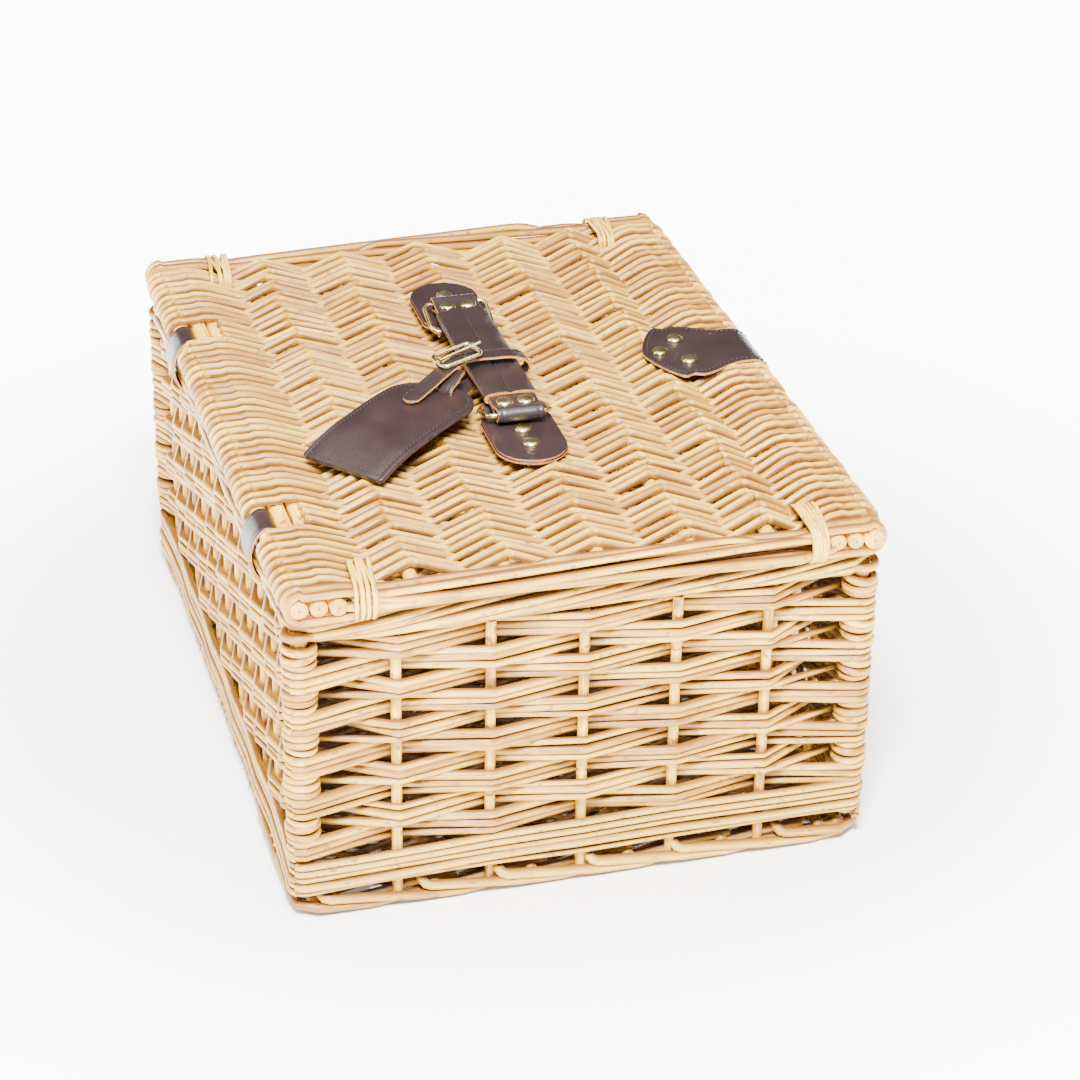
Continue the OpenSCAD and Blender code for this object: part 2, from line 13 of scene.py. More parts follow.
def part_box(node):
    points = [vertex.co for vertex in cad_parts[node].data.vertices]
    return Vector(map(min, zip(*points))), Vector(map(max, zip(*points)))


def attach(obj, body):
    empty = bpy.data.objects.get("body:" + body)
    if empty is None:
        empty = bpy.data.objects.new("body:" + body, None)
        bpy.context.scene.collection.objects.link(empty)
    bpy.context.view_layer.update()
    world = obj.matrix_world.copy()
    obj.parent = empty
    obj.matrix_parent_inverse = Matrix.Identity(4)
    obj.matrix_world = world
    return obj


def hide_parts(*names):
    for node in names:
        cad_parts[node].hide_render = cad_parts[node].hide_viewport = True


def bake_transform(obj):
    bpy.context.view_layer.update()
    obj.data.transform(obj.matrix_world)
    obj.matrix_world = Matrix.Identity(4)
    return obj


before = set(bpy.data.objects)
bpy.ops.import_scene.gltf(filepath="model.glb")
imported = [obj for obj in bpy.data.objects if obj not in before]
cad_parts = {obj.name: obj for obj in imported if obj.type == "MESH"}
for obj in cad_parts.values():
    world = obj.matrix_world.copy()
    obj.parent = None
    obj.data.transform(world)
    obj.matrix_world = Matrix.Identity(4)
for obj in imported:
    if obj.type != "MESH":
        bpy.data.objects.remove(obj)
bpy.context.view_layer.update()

MM = 0.001


def box_mm(node):
    """Lowest and highest corner of a CAD node, in millimetres."""
    lo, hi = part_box(node)
    return np.array(lo) / MM, np.array(hi) / MM


def centre_mm(node):
    lo, hi = box_mm(node)
    return (lo + hi) / 2


# ---------------------------------------------------------------- sizes from the frame
POST_X = centre_mm("corner_post_back_right")[0]
POST_Y = centre_mm("corner_post_back_right")[1]
WALL_TOP = box_mm("wall_left")[1][2] + 0.3
FOOT_TOP = box_mm("foot_border_left")[1][2]
BASE_TOP = box_mm("base_weave")[1][2]
BORDER_Z = centre_mm("top_border")[2]
LID_Z = centre_mm("lid_weave")[2]
LID_TOP = box_mm("lid_sticks_mid")[1][2] + 4.5
HINGE_Y = centre_mm("lid_hinge_stick")[1]
GRIP = centre_mm("grip_cover")
STAKE_PITCH_END = 50.0
STAKE_PITCH_LONG = 34.0
STAKES_END = 2
STAKES_LONG = 5
STAKE_R = 2.8
POST_R = 4.5
BANDS = 11
BAND_RODS = 3

# ---------------------------------------------------------------- small helpers


def unit(v):
    v = np.asarray(v, float)
    return v / np.linalg.norm(v)


def smooth(t):
    """Eases from 0 to 1."""
    t = min(max(t, 0.0), 1.0)
    return t * t * (3 - 2 * t)


def lengths(points):
    """Distance along a line of points, at each of them."""
    return np.concatenate([[0], np.cumsum(np.linalg.norm(np.diff(points, axis=0), axis=1))])


def tube_quads(index, closed=False, inward=False):
    """Quads of a tube, from the vertex numbers of its rings, one ring in each row."""
    rows, after = (index, np.roll(index, -1, axis=0)) if closed else (index[:-1], index[1:])
    corners = [rows, np.roll(rows, -1, axis=1), np.roll(after, -1, axis=1), after]
    if inward:
        corners = [corners[0], corners[3], corners[2], corners[1]]
    return np.stack(corners, axis=2).reshape(-1, 4)


def arc_yz(x, cy, cz, r, a0, a1, n):
    """Points on an arc in the plane across X, angles in degrees from +Y towards +Z."""
    angles = np.radians(np.linspace(a0, a1, n))
    return [np.array([x, cy + r * math.cos(a), cz + r * math.sin(a)]) for a in angles]


def spline(points, step):
    """A Catmull-Rom curve through the points, sampled about every `step`."""
    p = [np.asarray(q, float) for q in points]
    p = [2 * p[0] - p[1]] + p + [2 * p[-1] - p[-2]]
    out = []
    for i in range(1, len(p) - 2):
        n = max(2, int(np.linalg.norm(p[i + 1][:3] - p[i][:3]) / step))
        for k in range(n):
            t = k / n
            out.append(0.5 * (2 * p[i] + (p[i + 1] - p[i - 1]) * t
                              + (2 * p[i - 1] - 5 * p[i] + 4 * p[i + 1] - p[i + 2]) * t * t
                              + (3 * p[i] - p[i - 1] - 3 * p[i + 1] + p[i + 2]) * t ** 3))
    out.append(p[-2])
    return np.array(out)


class Bundle:
    """Rods swept along paths and gathered into one mesh, with a tone and fibre direction for each rod."""

    def __init__(self):
        self.verts, self.quads, self.tone, self.fibre = [], [], [], []
        self.count = 0

    def rod(self, path, radius, tone=0.5, sides=8, closed=False, up=None, flat=1.0, chamfer=0.0):
        p = np.asarray(path, float)
        r = np.broadcast_to(np.asarray(radius, float), (len(p),)).copy()
        if chamfer and not closed:
            d0, d1 = unit(p[0] - p[1]), unit(p[-1] - p[-2])
            p = np.vstack([p[0] + d0 * 0.01, p[0] - d0 * chamfer, p[1:-1],
                           p[-1] - d1 * chamfer, p[-1] + d1 * 0.01])
            r = np.concatenate([[r[0] - chamfer], [r[0]], r[1:-1], [r[-1]], [r[-1] - chamfer]])
        n = len(p)
        if closed:
            t = np.roll(p, -1, 0) - np.roll(p, 1, 0)
        else:
            t = np.gradient(p, axis=0)
        t /= np.linalg.norm(t, axis=1)[:, None]
        if up is None:
            a = unit(np.cross(t[0], [0.31, 0.17, 0.93]))
            first = np.empty((n, 3))
            for i in range(n):
                a = a - t[i] * np.dot(a, t[i])
                a /= np.linalg.norm(a)
                first[i] = a
        else:
            first = np.broadcast_to(np.asarray(up, float), (n, 3))
            first = first - t * np.sum(first * t, axis=1)[:, None]
            first /= np.linalg.norm(first, axis=1)[:, None]
        second = np.cross(t, first)
        ang = np.arange(sides) * 2 * math.pi / sides
        ring = (first[:, None, :] * np.cos(ang)[None, :, None]
                + second[:, None, :] * (np.sin(ang) * flat)[None, :, None])
        v = p[:, None, :] + ring * r[:, None, None]
        fibre = np.empty((n, sides, 3))
        fibre[:, :, 0] = (lengths(p) + 997.0 * tone)[:, None]
        fibre[:, :, 1] = np.cos(ang)[None, :] * r[:, None]
        fibre[:, :, 2] = np.sin(ang)[None, :] * r[:, None]
        idx = self.count + np.arange(n * sides).reshape(n, sides)
        self.quads.append(tube_quads(idx, closed))
        if not closed:
            k = np.arange(sides // 2 - 1)
            cap = np.stack([k, k + 1, sides - 2 - k, sides - 1 - k], axis=1)
            self.quads += [idx[0][cap][:, ::-1], idx[-1][cap]]
        self.verts.append(v.reshape(-1, 3))
        self.tone.append(np.full(n * sides, tone))
        self.fibre.append(fibre.reshape(-1, 3))
        self.count += n * sides

    def mesh(self, name, material, shade=None, crisp=False, side=2):
        mesh = mesh_from_arrays(name, np.vstack(self.verts), np.vstack(self.quads))
        normals = np.empty(len(mesh.vertices) * 3)
        mesh.vertices.foreach_get("normal", normals)
        normals = normals.reshape(-1, 3)
        # painted shade: where a rod's surface turns towards its neighbours along axis `side`, in the creases
        # between touching rods, it is darkened
        crease_shade = mesh.attributes.new("crease_shade", "FLOAT", "POINT")
        if side is not None:
            crease_shade_amount = np.clip(np.abs(normals[:, side]) * 2.2 - 0.95, 0, 1)
            crease_shade.data.foreach_set("value", crease_shade_amount.astype(np.float32))
        # painted shade: `shade` gives how far each surface lies on the basket's shaded inside
        if shade:
            inner = mesh.attributes.new("inner", "FLOAT", "POINT")
            inner.data.foreach_set("value", shade(np.vstack(self.verts), normals).astype(np.float32))
        tone = mesh.attributes.new("tone", "FLOAT", "POINT")
        tone.data.foreach_set("value", np.concatenate(self.tone).astype(np.float32))
        fibre = mesh.attributes.new("fibre", "FLOAT_VECTOR", "POINT")
        fibre.data.foreach_set("vector", np.vstack(self.fibre).astype(np.float32).ravel())
        obj = add_object(name, mesh, material)
        if crisp:
            sharpen(obj)
        return obj


def wall_inside_shade(p, n):
    """How much painted shade a surface gets as part of the basket's shaded inside, from 0 to 1, by its place
    and the way it faces.
    """
    gap = np.stack([POST_X - np.abs(p[:, 0]), POST_Y - np.abs(p[:, 1])], axis=1)
    depth = gap.min(axis=1)
    near_x = gap[:, 0] < gap[:, 1]
    inward = np.where(near_x, -np.sign(p[:, 0]) * n[:, 0], -np.sign(p[:, 1]) * n[:, 1])
    return np.clip((depth + 4.5 * inward - 4.0) / 3.0, 0, 1)


# painted shade: foot rods darken the further they lie in under the wall
def foot_inside_shade(p, n):
    depth = np.minimum(POST_X - np.abs(p[:, 0]), POST_Y - np.abs(p[:, 1]))
    return np.clip((depth + 1.5) / 4.0, 0, 1)


# painted shade: upward faces of the base weave inside the basket darken
def floor_inside_shade(p, n):
    inside = (np.abs(p[:, 0]) < POST_X - 6) & (np.abs(p[:, 1]) < POST_Y - 6)
    return inside * np.clip((n[:, 2] + 0.2) * 2, 0, 1)


# painted shade: downward faces of the lid weave over the basket's inside darken
def lid_inside_shade(p, n):
    inside = (np.abs(p[:, 0]) < POST_X - 6) & (np.abs(p[:, 1]) < POST_Y - 6)
    return inside * np.clip((0.1 - n[:, 2]) * 2, 0, 1) * (p[:, 2] < LID_Z + 2)


def mesh_from_arrays(name, verts, quads):
    mesh = bpy.data.meshes.new(name)
    mesh.vertices.add(len(verts))
    mesh.vertices.foreach_set("co", (np.asarray(verts) * MM).astype(np.float32).ravel())
    mesh.loops.add(4 * len(quads))
    mesh.loops.foreach_set("vertex_index", np.asarray(quads, np.int32).ravel())
    mesh.polygons.add(len(quads))
    mesh.polygons.foreach_set("loop_start", np.arange(len(quads), dtype=np.int32) * 4)
    mesh.polygons.foreach_set("use_smooth", np.ones(len(quads), dtype=bool))
    mesh.update(calc_edges=True)
    mesh.validate()
    return mesh


def add_object(name, mesh, *materials):
    obj = bpy.data.objects.new(name, mesh)
    bpy.context.scene.collection.objects.link(obj)
    for m in materials:
        mesh.materials.append(m)
    return obj


def piece(obj, body, slot, *nodes):
    """Says what body a piece rides on and which CAD nodes it stands for; `slot`, its finish, is not used."""
    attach(obj, body)
    if nodes:
        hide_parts(*nodes)
    return obj


# ---------------------------------------------------------------- materials


class Shader:
    """A new Principled material, with short ways to add and link its nodes."""

    def __init__(self, name):
        self.material = bpy.data.materials.new(name)
        self.material.use_nodes = True
        self.tree = self.material.node_tree
        self.bsdf = self.tree.nodes["Principled BSDF"]

    def add(self, kind):
        return self.tree.nodes.new("ShaderNode" + kind)

    def feed(self, socket, value):
        """Links a node's output to a socket, or sets the socket to a colour or a number."""
        if isinstance(value, bpy.types.NodeSocket):
            self.tree.links.new(value, socket)
        else:
            socket.default_value = (*value, 1) if isinstance(value, tuple) else value

    def surface(self, **values):
        """Feeds the surface's inputs: colour, roughness, specular or metallic."""
        names = {"colour": "Base Color", "roughness": "Roughness", "specular": "Specular IOR Level",
                 "metallic": "Metallic", "emission": "Emission Color", "glow": "Emission Strength"}
        for name, value in values.items():
            self.feed(self.bsdf.inputs[names[name]], value)

    def place(self):
        return self.add("TexCoord").outputs["Object"]

    def attribute(self, name, output="Fac"):
        node = self.add("Attribute")
        node.attribute_name = name
        return node.outputs[output]

    def noise(self, vector, scale, detail=3.0, stretch=(1, 1, 1)):
        mapping = self.add("Mapping")
        mapping.inputs["Scale"].default_value = stretch
        self.feed(mapping.inputs["Vector"], vector)
        node = self.add("TexNoise")
        self.feed(node.inputs["Scale"], scale)
        self.feed(node.inputs["Detail"], detail)
        self.feed(node.inputs["Vector"], mapping.outputs[0])
        return node.outputs["Fac"]

    def math(self, operation, *values):
        node = self.add("Math")
        node.operation = operation
        for socket, value in zip(node.inputs, values):
            self.feed(socket, value)
        return node.outputs[0]

    def ramp(self, factor, *stops):
        """A colour ramp. Each stop is a place and either a colour or a grey level."""
        node = self.add("ValToRGB")
        elements = node.color_ramp.elements
        while len(elements) < len(stops):
            elements.new(0.5)
        for element, (place, level) in zip(elements, stops):
            element.position = place
            element.color = (*level, 1) if isinstance(level, tuple) else (level, level, level, 1)
        self.feed(node.inputs[0], factor)
        return node.outputs[0]

    def mix(self, factor, a, b):
        node = self.add("Mix")
        node.data_type = "RGBA"
        for index, value in ((0, factor), (6, a), (7, b)):
            self.feed(node.inputs[index], value)
        return node.outputs[2]

    def relief(self, height, strength, distance):
        node = self.add("Bump")
        for name, value in (("Strength", strength), ("Distance", distance), ("Height", height)):
            self.feed(node.inputs[name], value)
        self.feed(self.bsdf.inputs["Normal"], node.outputs[0])


WILLOW_TONES = ((0.0, (0.15, 0.050, 0.003)), (0.3, (0.45, 0.195, 0.011)), (0.6, (0.73, 0.385, 0.026)),
                (1.0, (0.94, 0.61, 0.080)))
WILLOW_ROSY = (0.62, 0.300, 0.070)
WILLOW_NODE = (0.16, 0.058, 0.018)
# painted shade colours: the basket's shaded inside, and the creases between rods
WILLOW_INSIDE_SHADE = (0.070, 0.028, 0.007)
WILLOW_CREASE_SHADE = (0.13, 0.042, 0.006)
WILLOW_PITH = ((0.0, (0.14, 0.05, 0.006)), (0.075, (0.16, 0.06, 0.008)), (0.10, (0.55, 0.32, 0.028)),
               (0.24, (0.34, 0.16, 0.012)), (0.28, (0.58, 0.35, 0.035)), (0.40, (0.42, 0.22, 0.018)))
PITH_STRENGTH = ((0.0, 0.95), (0.09, 0.8), (0.12, 0.35), (0.30, 0.5), (0.38, 0.8), (0.41, 0.0))


def willow_material(name, swept):
    """Peeled willow: a tone for each rod, streaks along the fibre, small brown nodes.

    Swept rods carry their own tone and fibre, and painted shade on the basket's inside and in the creases
    between rods; CAD sticks take their tone and fibre from where they are, and get no painted shade."""
    shader = Shader(name)
    if swept:
        tone = shader.attribute("tone")
        vector = shader.attribute("fibre", "Vector")
        streak = shader.noise(vector, 1.0, 3.0, (0.03, 1.6, 1.6))
        patch = shader.noise(vector, 1.0, 2.0, (0.035, 0.12, 0.12))
        spots = shader.noise(vector, 1.0, 1.0, (0.16, 0.34, 0.34))
        grain = shader.noise(vector, 1.0, 4.0, (0.12, 3.0, 3.0))
    else:
        vector = shader.place()
        tone = shader.noise(vector, 14.0, 1.0)
        streak = shader.noise(vector, 900.0, 3.0, (1, 1, 0.05))
        patch = shader.noise(vector, 60.0, 2.0)
        spots = shader.noise(vector, 170.0, 1.0)
        grain = shader.noise(vector, 2000.0, 3.0, (1, 1, 0.06))
    total = -1.33
    for part, weight in ((streak, 1.35), (patch, 1.55), (tone, 0.85)):
        total = shader.math("ADD", total, shader.math("MULTIPLY", part, weight))
    hue = shader.add("TexWhiteNoise")
    hue.noise_dimensions = "1D"
    shader.feed(hue.inputs["W"], tone)
    rosy = shader.math("MULTIPLY", shader.math("POWER", hue.outputs["Value"], 2.0), 0.16 if swept else 0.0)
    colour = shader.mix(rosy, shader.ramp(total, *WILLOW_TONES), WILLOW_ROSY)
    specks = shader.ramp(spots, (0.0, 0.0), (0.635, 0.0), (0.68, 0.85), (1.0, 0.85))
    colour = shader.mix(specks, colour, WILLOW_NODE)
    if swept:
        # distance from the rod's heart: only cut ends come near it, and they show the pith
        split = shader.add("SeparateXYZ")
        shader.feed(split.inputs[0], vector)
        squares = [shader.math("MULTIPLY", split.outputs[i], split.outputs[i]) for i in (1, 2)]
        heart = shader.math("MULTIPLY", shader.math("SQRT", shader.math("ADD", *squares)), 0.1)
        colour = shader.mix(shader.ramp(heart, *PITH_STRENGTH), colour, shader.ramp(heart, *WILLOW_PITH))
        # painted shade: the basket's inside and the creases between touching rods are darkened in the colour
        colour = shader.mix(shader.math("MULTIPLY", shader.attribute("inner"), 0.86), colour, WILLOW_INSIDE_SHADE)
        colour = shader.mix(shader.math("MULTIPLY", shader.attribute("crease_shade"), 0.94), colour, WILLOW_CREASE_SHADE)
    shader.surface(colour=colour, roughness=shader.ramp(grain, (0.3, 0.33), (0.8, 0.55)), specular=0.45)
    shader.relief(grain, 0.35, 0.0004)
    return shader.material


def leather_material():
    shader = Shader("leather_dark")
    vector = shader.place()
    broad = shader.noise(vector, 45.0, 3.0)
    cells = shader.add("TexVoronoi")
    shader.feed(cells.inputs["Scale"], 1500.0)
    shader.feed(cells.inputs["Vector"], vector)
    height = shader.math("ADD", cells.outputs["Distance"], shader.noise(vector, 700.0, 3.0))
    colour = shader.ramp(broad, (0.3, (0.0150, 0.0082, 0.0078)), (0.7, (0.0200, 0.0106, 0.0100)))
    shader.surface(colour=colour, roughness=shader.ramp(broad, (0.3, 0.30), (0.75, 0.42)), specular=0.50)
    shader.relief(height, 0.30, 0.0003)
    return shader.material


def mottled_material(name, scale, detail, dark, light, roughness=None, relief=None):
    """A colour that wanders between two tones. Without a roughness it is a polished metal."""
    shader = Shader(name)
    wander = shader.noise(shader.place(), scale, detail)
    shader.surface(colour=shader.ramp(wander, (0.3, dark), (0.7, light)))
    if roughness is None:
        shader.surface(roughness=shader.ramp(wander, (0.3, 0.20), (0.8, 0.34)), metallic=1.0)
    else:
        shader.surface(roughness=roughness)
    if relief:
        shader.relief(wander, *relief)
    return shader.material


WILLOW = willow_material("willow_rods", True)
STICK = willow_material("willow_stakes", False)
LEATHER = leather_material()
RAW = mottled_material("leather_raw_edge", 900.0, 4.0,
                       (0.26, 0.088, 0.014), (0.50, 0.205, 0.040), 0.85, (0.6, 0.0004))
BRASS = mottled_material("brass_pale", 160.0, 3.0, (0.70, 0.55, 0.22), (0.90, 0.76, 0.38))
THREAD = mottled_material("waxed_thread", 2500.0, 2.0, (0.003, 0.0018, 0.0018), (0.010, 0.006, 0.005), 0.6)
LEATHER_EDGE = mottled_material("leather_burnished_edge", 400.0, 3.0,
                                (0.016, 0.009, 0.012), (0.040, 0.022, 0.026), 0.35)

# ---------------------------------------------------------------- walls
# Each band of rods runs round the basket. Odd bands pass outside the corner posts; even bands pass inside
# them, and a separate knob of rods wraps the post at their height. The lowest bands (waling) stay outside.

WALLS = [("left", (-1, 0)), ("front", (0, -1)), ("right", (1, 0)), ("back", (0, 1))]


def wall_supports(side):
    """Distances along a wall of its stakes and the two corner posts, from the wall's middle."""
    if side in ("left", "right"):
        return [STAKE_PITCH_END * i for i in range(-STAKES_END, STAKES_END + 1)], POST_Y
    return [STAKE_PITCH_LONG * i for i in range(-STAKES_LONG, STAKES_LONG + 1)], POST_X


def wall_path(side, normal, z, outside, radius, wander, cut=0.0, rise=None):
    """Path of one rod along one wall, counter-clockwise seen from above, from corner to corner.

    `wander` is the height, length and phase of its waves, `cut` how far short an inside rod ends, and
    `rise` how far a waling rod climbs."""
    stakes, half = wall_supports(side)
    n = np.array([normal[0], normal[1], 0.0])
    along = np.array([-n[1], n[0], 0.0])
    plane = POST_X if normal[0] else POST_Y
    sign = 1.0 if outside else -1.0
    corner_off = POST_R + radius + 0.2 + cut
    stake_off = STAKE_R + radius
    if rise is None:
        off = [stake_off * sign * (-1) ** (i + 1) for i in range(len(stakes))]
    else:
        off = [stake_off + 0.5 * (-1) ** i for i in range(len(stakes))]
    off = [corner_off * sign, *off, corner_off * sign]
    at = [-half, *stakes, half]
    reach = half if outside else half - 11.5 - cut

    def corner(end):
        """Points from the end of the wall to the middle of its corner, round the post or in behind it."""
        if outside:
            centre = n * plane + along * end * half
            return [centre + corner_off * (n * math.cos(a) + along * math.sin(a))
                    for a in np.radians(np.linspace(6, 45, 6)) * end]
        inner = n * (plane - corner_off)
        turn = inner + along * end * (half - corner_off)
        return [(turn - n * 4.6) * 0.25 + turn * 0.5 + (inner + along * end * reach) * 0.25]

    places = [a + (b - a) * t for a, b in zip(at, at[1:]) for t in (0.0, 0.03, 0.25, 0.5, 0.75, 0.97)]
    places = [-reach] + [s for s in places if abs(s) < reach - 1.0] + [reach]
    at[0], at[-1] = -reach, reach
    middle = [n * (plane + np.interp(s, at, off)) + along * s for s in places]
    out = np.array(corner(-1)[::-1] + middle + corner(1))
    s_all = out @ along
    ease = np.clip((half - np.abs(s_all)) / 30.0, 0, 1)
    out[:, 2] = z + ease * wander[0] * np.sin(s_all / wander[1] + wander[2])
    if rise is not None:
        out[:, 2] += rise / 2 * np.clip(s_all / (half - 8), -1, 1)
    return out


def build_walls():
    rng = random.Random(11)
    bundles = {side: Bundle() for side, _ in WALLS}
    knobs = {(sx, sy): Bundle() for sx in (-1, 1) for sy in (-1, 1)}
    pitch = (WALL_TOP - FOOT_TOP) / BANDS
    around = np.linspace(0, 2 * math.pi, 28, endpoint=False)
    for band in range(-1, BANDS):
        waling = band < 1
        outside = waling or band % 2 == 1
        for k in range(BAND_RODS):
            r = rng.uniform(1.85, 2.5)
            z = FOOT_TOP + (band + 0.5) * pitch + (k - 1) * pitch / 3 + rng.uniform(-0.3, 0.3)
            for side, normal in WALLS:
                if band < 0 and k == 0 and side in ("left", "right"):
                    continue
                tone = rng.random()
                own = r + rng.uniform(-0.25, 0.25)
                wander = (rng.uniform(0.2, 1.0), rng.uniform(20, 45), rng.uniform(0, 6.28))
                cut = 0.0 if outside or k == 0 else rng.uniform(5.0, 9.0)
                path = wall_path(side, normal, z, outside, own, wander, cut, pitch / 3 if waling else None)
                bundles[side].rod(path, own * np.linspace(1.06, 0.94, len(path)), tone)
            if outside:
                continue
            top = band == BANDS - 1 and k == BAND_RODS - 1
            for (sx, sy), bundle in knobs.items():
                for level in (z, z + 2 * pitch / 3) if top else (z,):
                    rr = r + rng.uniform(0.0, 0.15)
                    tilt = rng.uniform(0.5, 1.2)
                    lead = rng.uniform(0, 6.28)
                    reach = POST_R + rr + 0.3
                    ring = np.stack([sx * POST_X + reach * np.cos(around), sy * POST_Y + reach * np.sin(around),
                                     level + tilt * np.sin(around + lead)], axis=1)
                    bundle.rod(ring, rr, rng.random(), closed=True)
    for side, bundle in bundles.items():
        piece(bundle.mesh("weave_" + side, WILLOW, wall_inside_shade), "basket", "willow", "wall_" + side)
    for (sx, sy), bundle in knobs.items():
        name = "%s_%s" % ("front" if sy < 0 else "back", "left" if sx < 0 else "right")
        obj = bundle.mesh("corner_knobs_" + name, WILLOW, wall_inside_shade)
        piece(obj, "basket", "willow", "corner_wrap_" + name)


# ---------------------------------------------------------------- borders

LOOP_R = 8.0
LOOP_LENGTH = 4 * (POST_X - LOOP_R) + 4 * (POST_Y - LOOP_R) + 2 * math.pi * LOOP_R
FOOT_CORNER = 5.0
# a foot rod's distance along itself, how far out it lies, and its height
FOOT_S = [0.0, 20.0, 49.0, 75.0, 98.0, 120.0, 147.0, 175.0]
FOOT_OUT = [5.2, 5.4, 5.2, 4.2, -0.4, -1.6, -2.0, -2.4]
FOOT_Z = [9.9, 8.3, 5.0, 3.5, 3.3, 4.6, 9.0, 10.5]


def loop_point(s, out, z, corner=LOOP_R):
    """Point at distance s along a rounded rectangle through the posts, moved out by `out`, at height z.
    s = 0 is the back end of the left wall, and s grows counter-clockwise seen from above."""
    hx, hy = POST_X - corner, POST_Y - corner
    quarter = math.pi / 2 * corner
    s %= 4 * hx + 4 * hy + 4 * quarter
    reach = corner + out
    for half, depth, (nx, ny) in ((hy, hx, (-1, 0)), (hx, hy, (0, -1)), (hy, hx, (1, 0)), (hx, hy, (0, 1))):
        ax, ay = -ny, nx
        if s <= 2 * half:
            return np.array([nx * (depth + reach) + ax * (s - half), ny * (depth + reach) + ay * (s - half), z])
        s -= 2 * half
        if s <= quarter:
            c, d = reach * math.cos(s / corner), reach * math.sin(s / corner)
            return np.array([nx * (depth + c) + ax * (half + d), ny * (depth + c) + ay * (half + d), z])
        s -= quarter


def build_top_border():
    """Rods bent down from the stakes: each starts under the border, climbs its outside and rolls over."""
    rng = random.Random(23)
    bundle = Bundle()
    count, turn, bundle_r = 36, 300.0, 5.3
    for i in range(count):
        s0 = LOOP_LENGTH * i / count + rng.uniform(-5, 5)
        r = rng.uniform(2.2, 2.95)
        pts = []
        for s in np.arange(0, turn, 6.0):
            a = math.radians(-105 + 370 * s / turn + 9 * math.sin(s / 37 + 2.1 * i))
            reach = bundle_r + 0.5 * math.sin(s / 29 + i)
            pts.append(loop_point(s0 + s, reach * math.cos(a), BORDER_Z + reach * math.sin(a)))
        bundle.rod(pts, r * np.linspace(1.08, 0.72, len(pts)), rng.random())
    core = [loop_point(s, 0, BORDER_Z) for s in np.arange(0, LOOP_LENGTH, 8.0)]
    bundle.rod(core, 3.6, 0.3, closed=True)
    piece(bundle.mesh("border_top", WILLOW), "basket", "willow", "top_border")


def build_foot_border(side, s_from):
    """Stakes turned at the foot: each comes out under the wall at an elbow and sinks to the ground along it."""
    name = "foot_rods_" + side
    rng = random.Random(31 + len(name))
    bundle = Bundle()
    for i, s0 in enumerate(np.arange(s_from - 90.0, s_from + 2 * (POST_Y - LOOP_R) - 10, 49.0)):
        s0 = s0 + rng.uniform(-6, 6)
        r = rng.uniform(2.75, 3.05)
        elbow = ((-2.5, -3.0, 12.5), (-1.8, 1.5, 11.4), (-0.5, 4.4, 10.4))
        pts = [loop_point(s0 + s, out, z, FOOT_CORNER) for s, out, z in elbow]
        for s in np.arange(2.0, 172.0, 6.0):
            z = np.interp(s, FOOT_S, FOOT_Z) + 0.3 * math.sin(s / 24 + i)
            pts.append(loop_point(s0 + s, np.interp(s, FOOT_S, FOOT_OUT), z, FOOT_CORNER))
        bundle.rod(pts, r * np.linspace(1.05, 0.85, len(pts)), rng.random())
    piece(bundle.mesh(name, WILLOW, foot_inside_shade), "basket", "willow", "foot_border_" + side)


# ---------------------------------------------------------------- lid and base weave

HINGE_X = [centre_mm("hinge_strap_" + side)[0] for side in ("left", "right")]
HINGE_GAP = 14.4


def serpentine(bundle, rng, x_end, pitch, supports, z_mid, stick_r, lean, rolls,
               gaps=(), thin=0.0, z_floor=None):
    """Weavers along Y that go over and under the sticks and wrap the outer ones. Each pair of rows is one
    rod from the front edge round the back edge and back to the front.

    `supports` holds each stick's y and how far the rod runs flat there, `lean` how far the rods lean along
    X at each, `rolls` the wraps' depth at the back and the front, and `gaps` the ranges left for the hinges."""
    rows = int(round(2 * x_end / pitch)) + 1
    for i in range(rows):
        x0 = -x_end + i * pitch
        r = rng.uniform(1.95, 2.75) - thin
        tone = rng.random()
        levels = []
        for j, (y, flat) in enumerate(supports):
            up = 1.0 if (j + i) % 2 == 0 else -1.0
            rise = stick_r[j] + r + 0.05 + (0 if flat else rng.uniform(-0.5, 0.7))
            levels.append((y + (0 if flat else rng.uniform(-2.5, 2.5)), up * rise,
                           up * lean[j] * (1 if flat else rng.uniform(0.78, 1.16)), flat))
        y, dz, dx, flat = levels[0]
        pts = [(x0 + dx, y + flat, z_mid + dz)]
        for y, dz, dx, flat in levels:
            for s in ((flat, 0.0, -flat) if flat else (3.5, 0.0, -3.5)):
                drop = 0.90 if (not flat and s != 0.0) else 1.0
                pts.append((x0 + dx * drop + rng.uniform(-0.5, 0.5), y + s, z_mid + dz * drop))
        path = spline(pts, 5.0)
        for (y, dz, dx, flat), side, roll in ((levels[0], 1, rolls[0]), (levels[-1], -1, rolls[1])):
            wraps = (i % 2 == 0) == (side > 0)
            at_hinge = side > 0 and any(a - pitch <= x0 <= b for a, b in gaps)
            if not wraps or i == rows - 1 or at_hinge:
                continue
            turn = []
            for a in np.radians(np.linspace(90, -90, 9)):
                t = (math.pi / 2 - a) / math.pi
                turn.append((x0 + dx + (pitch - 2 * dx) * smooth(t), y + side * (flat + roll * math.cos(a)),
                             z_mid + dz * math.sin(a)))
            bundle.rod(turn, r, tone)
        if any(a <= x0 <= b for a, b in gaps):
            path = path[path[:, 1] < HINGE_Y - 13.5]
        if z_floor is not None:
            path[:, 2] = np.maximum(path[:, 2], z_floor + r)
        bundle.rod(path, r, tone)


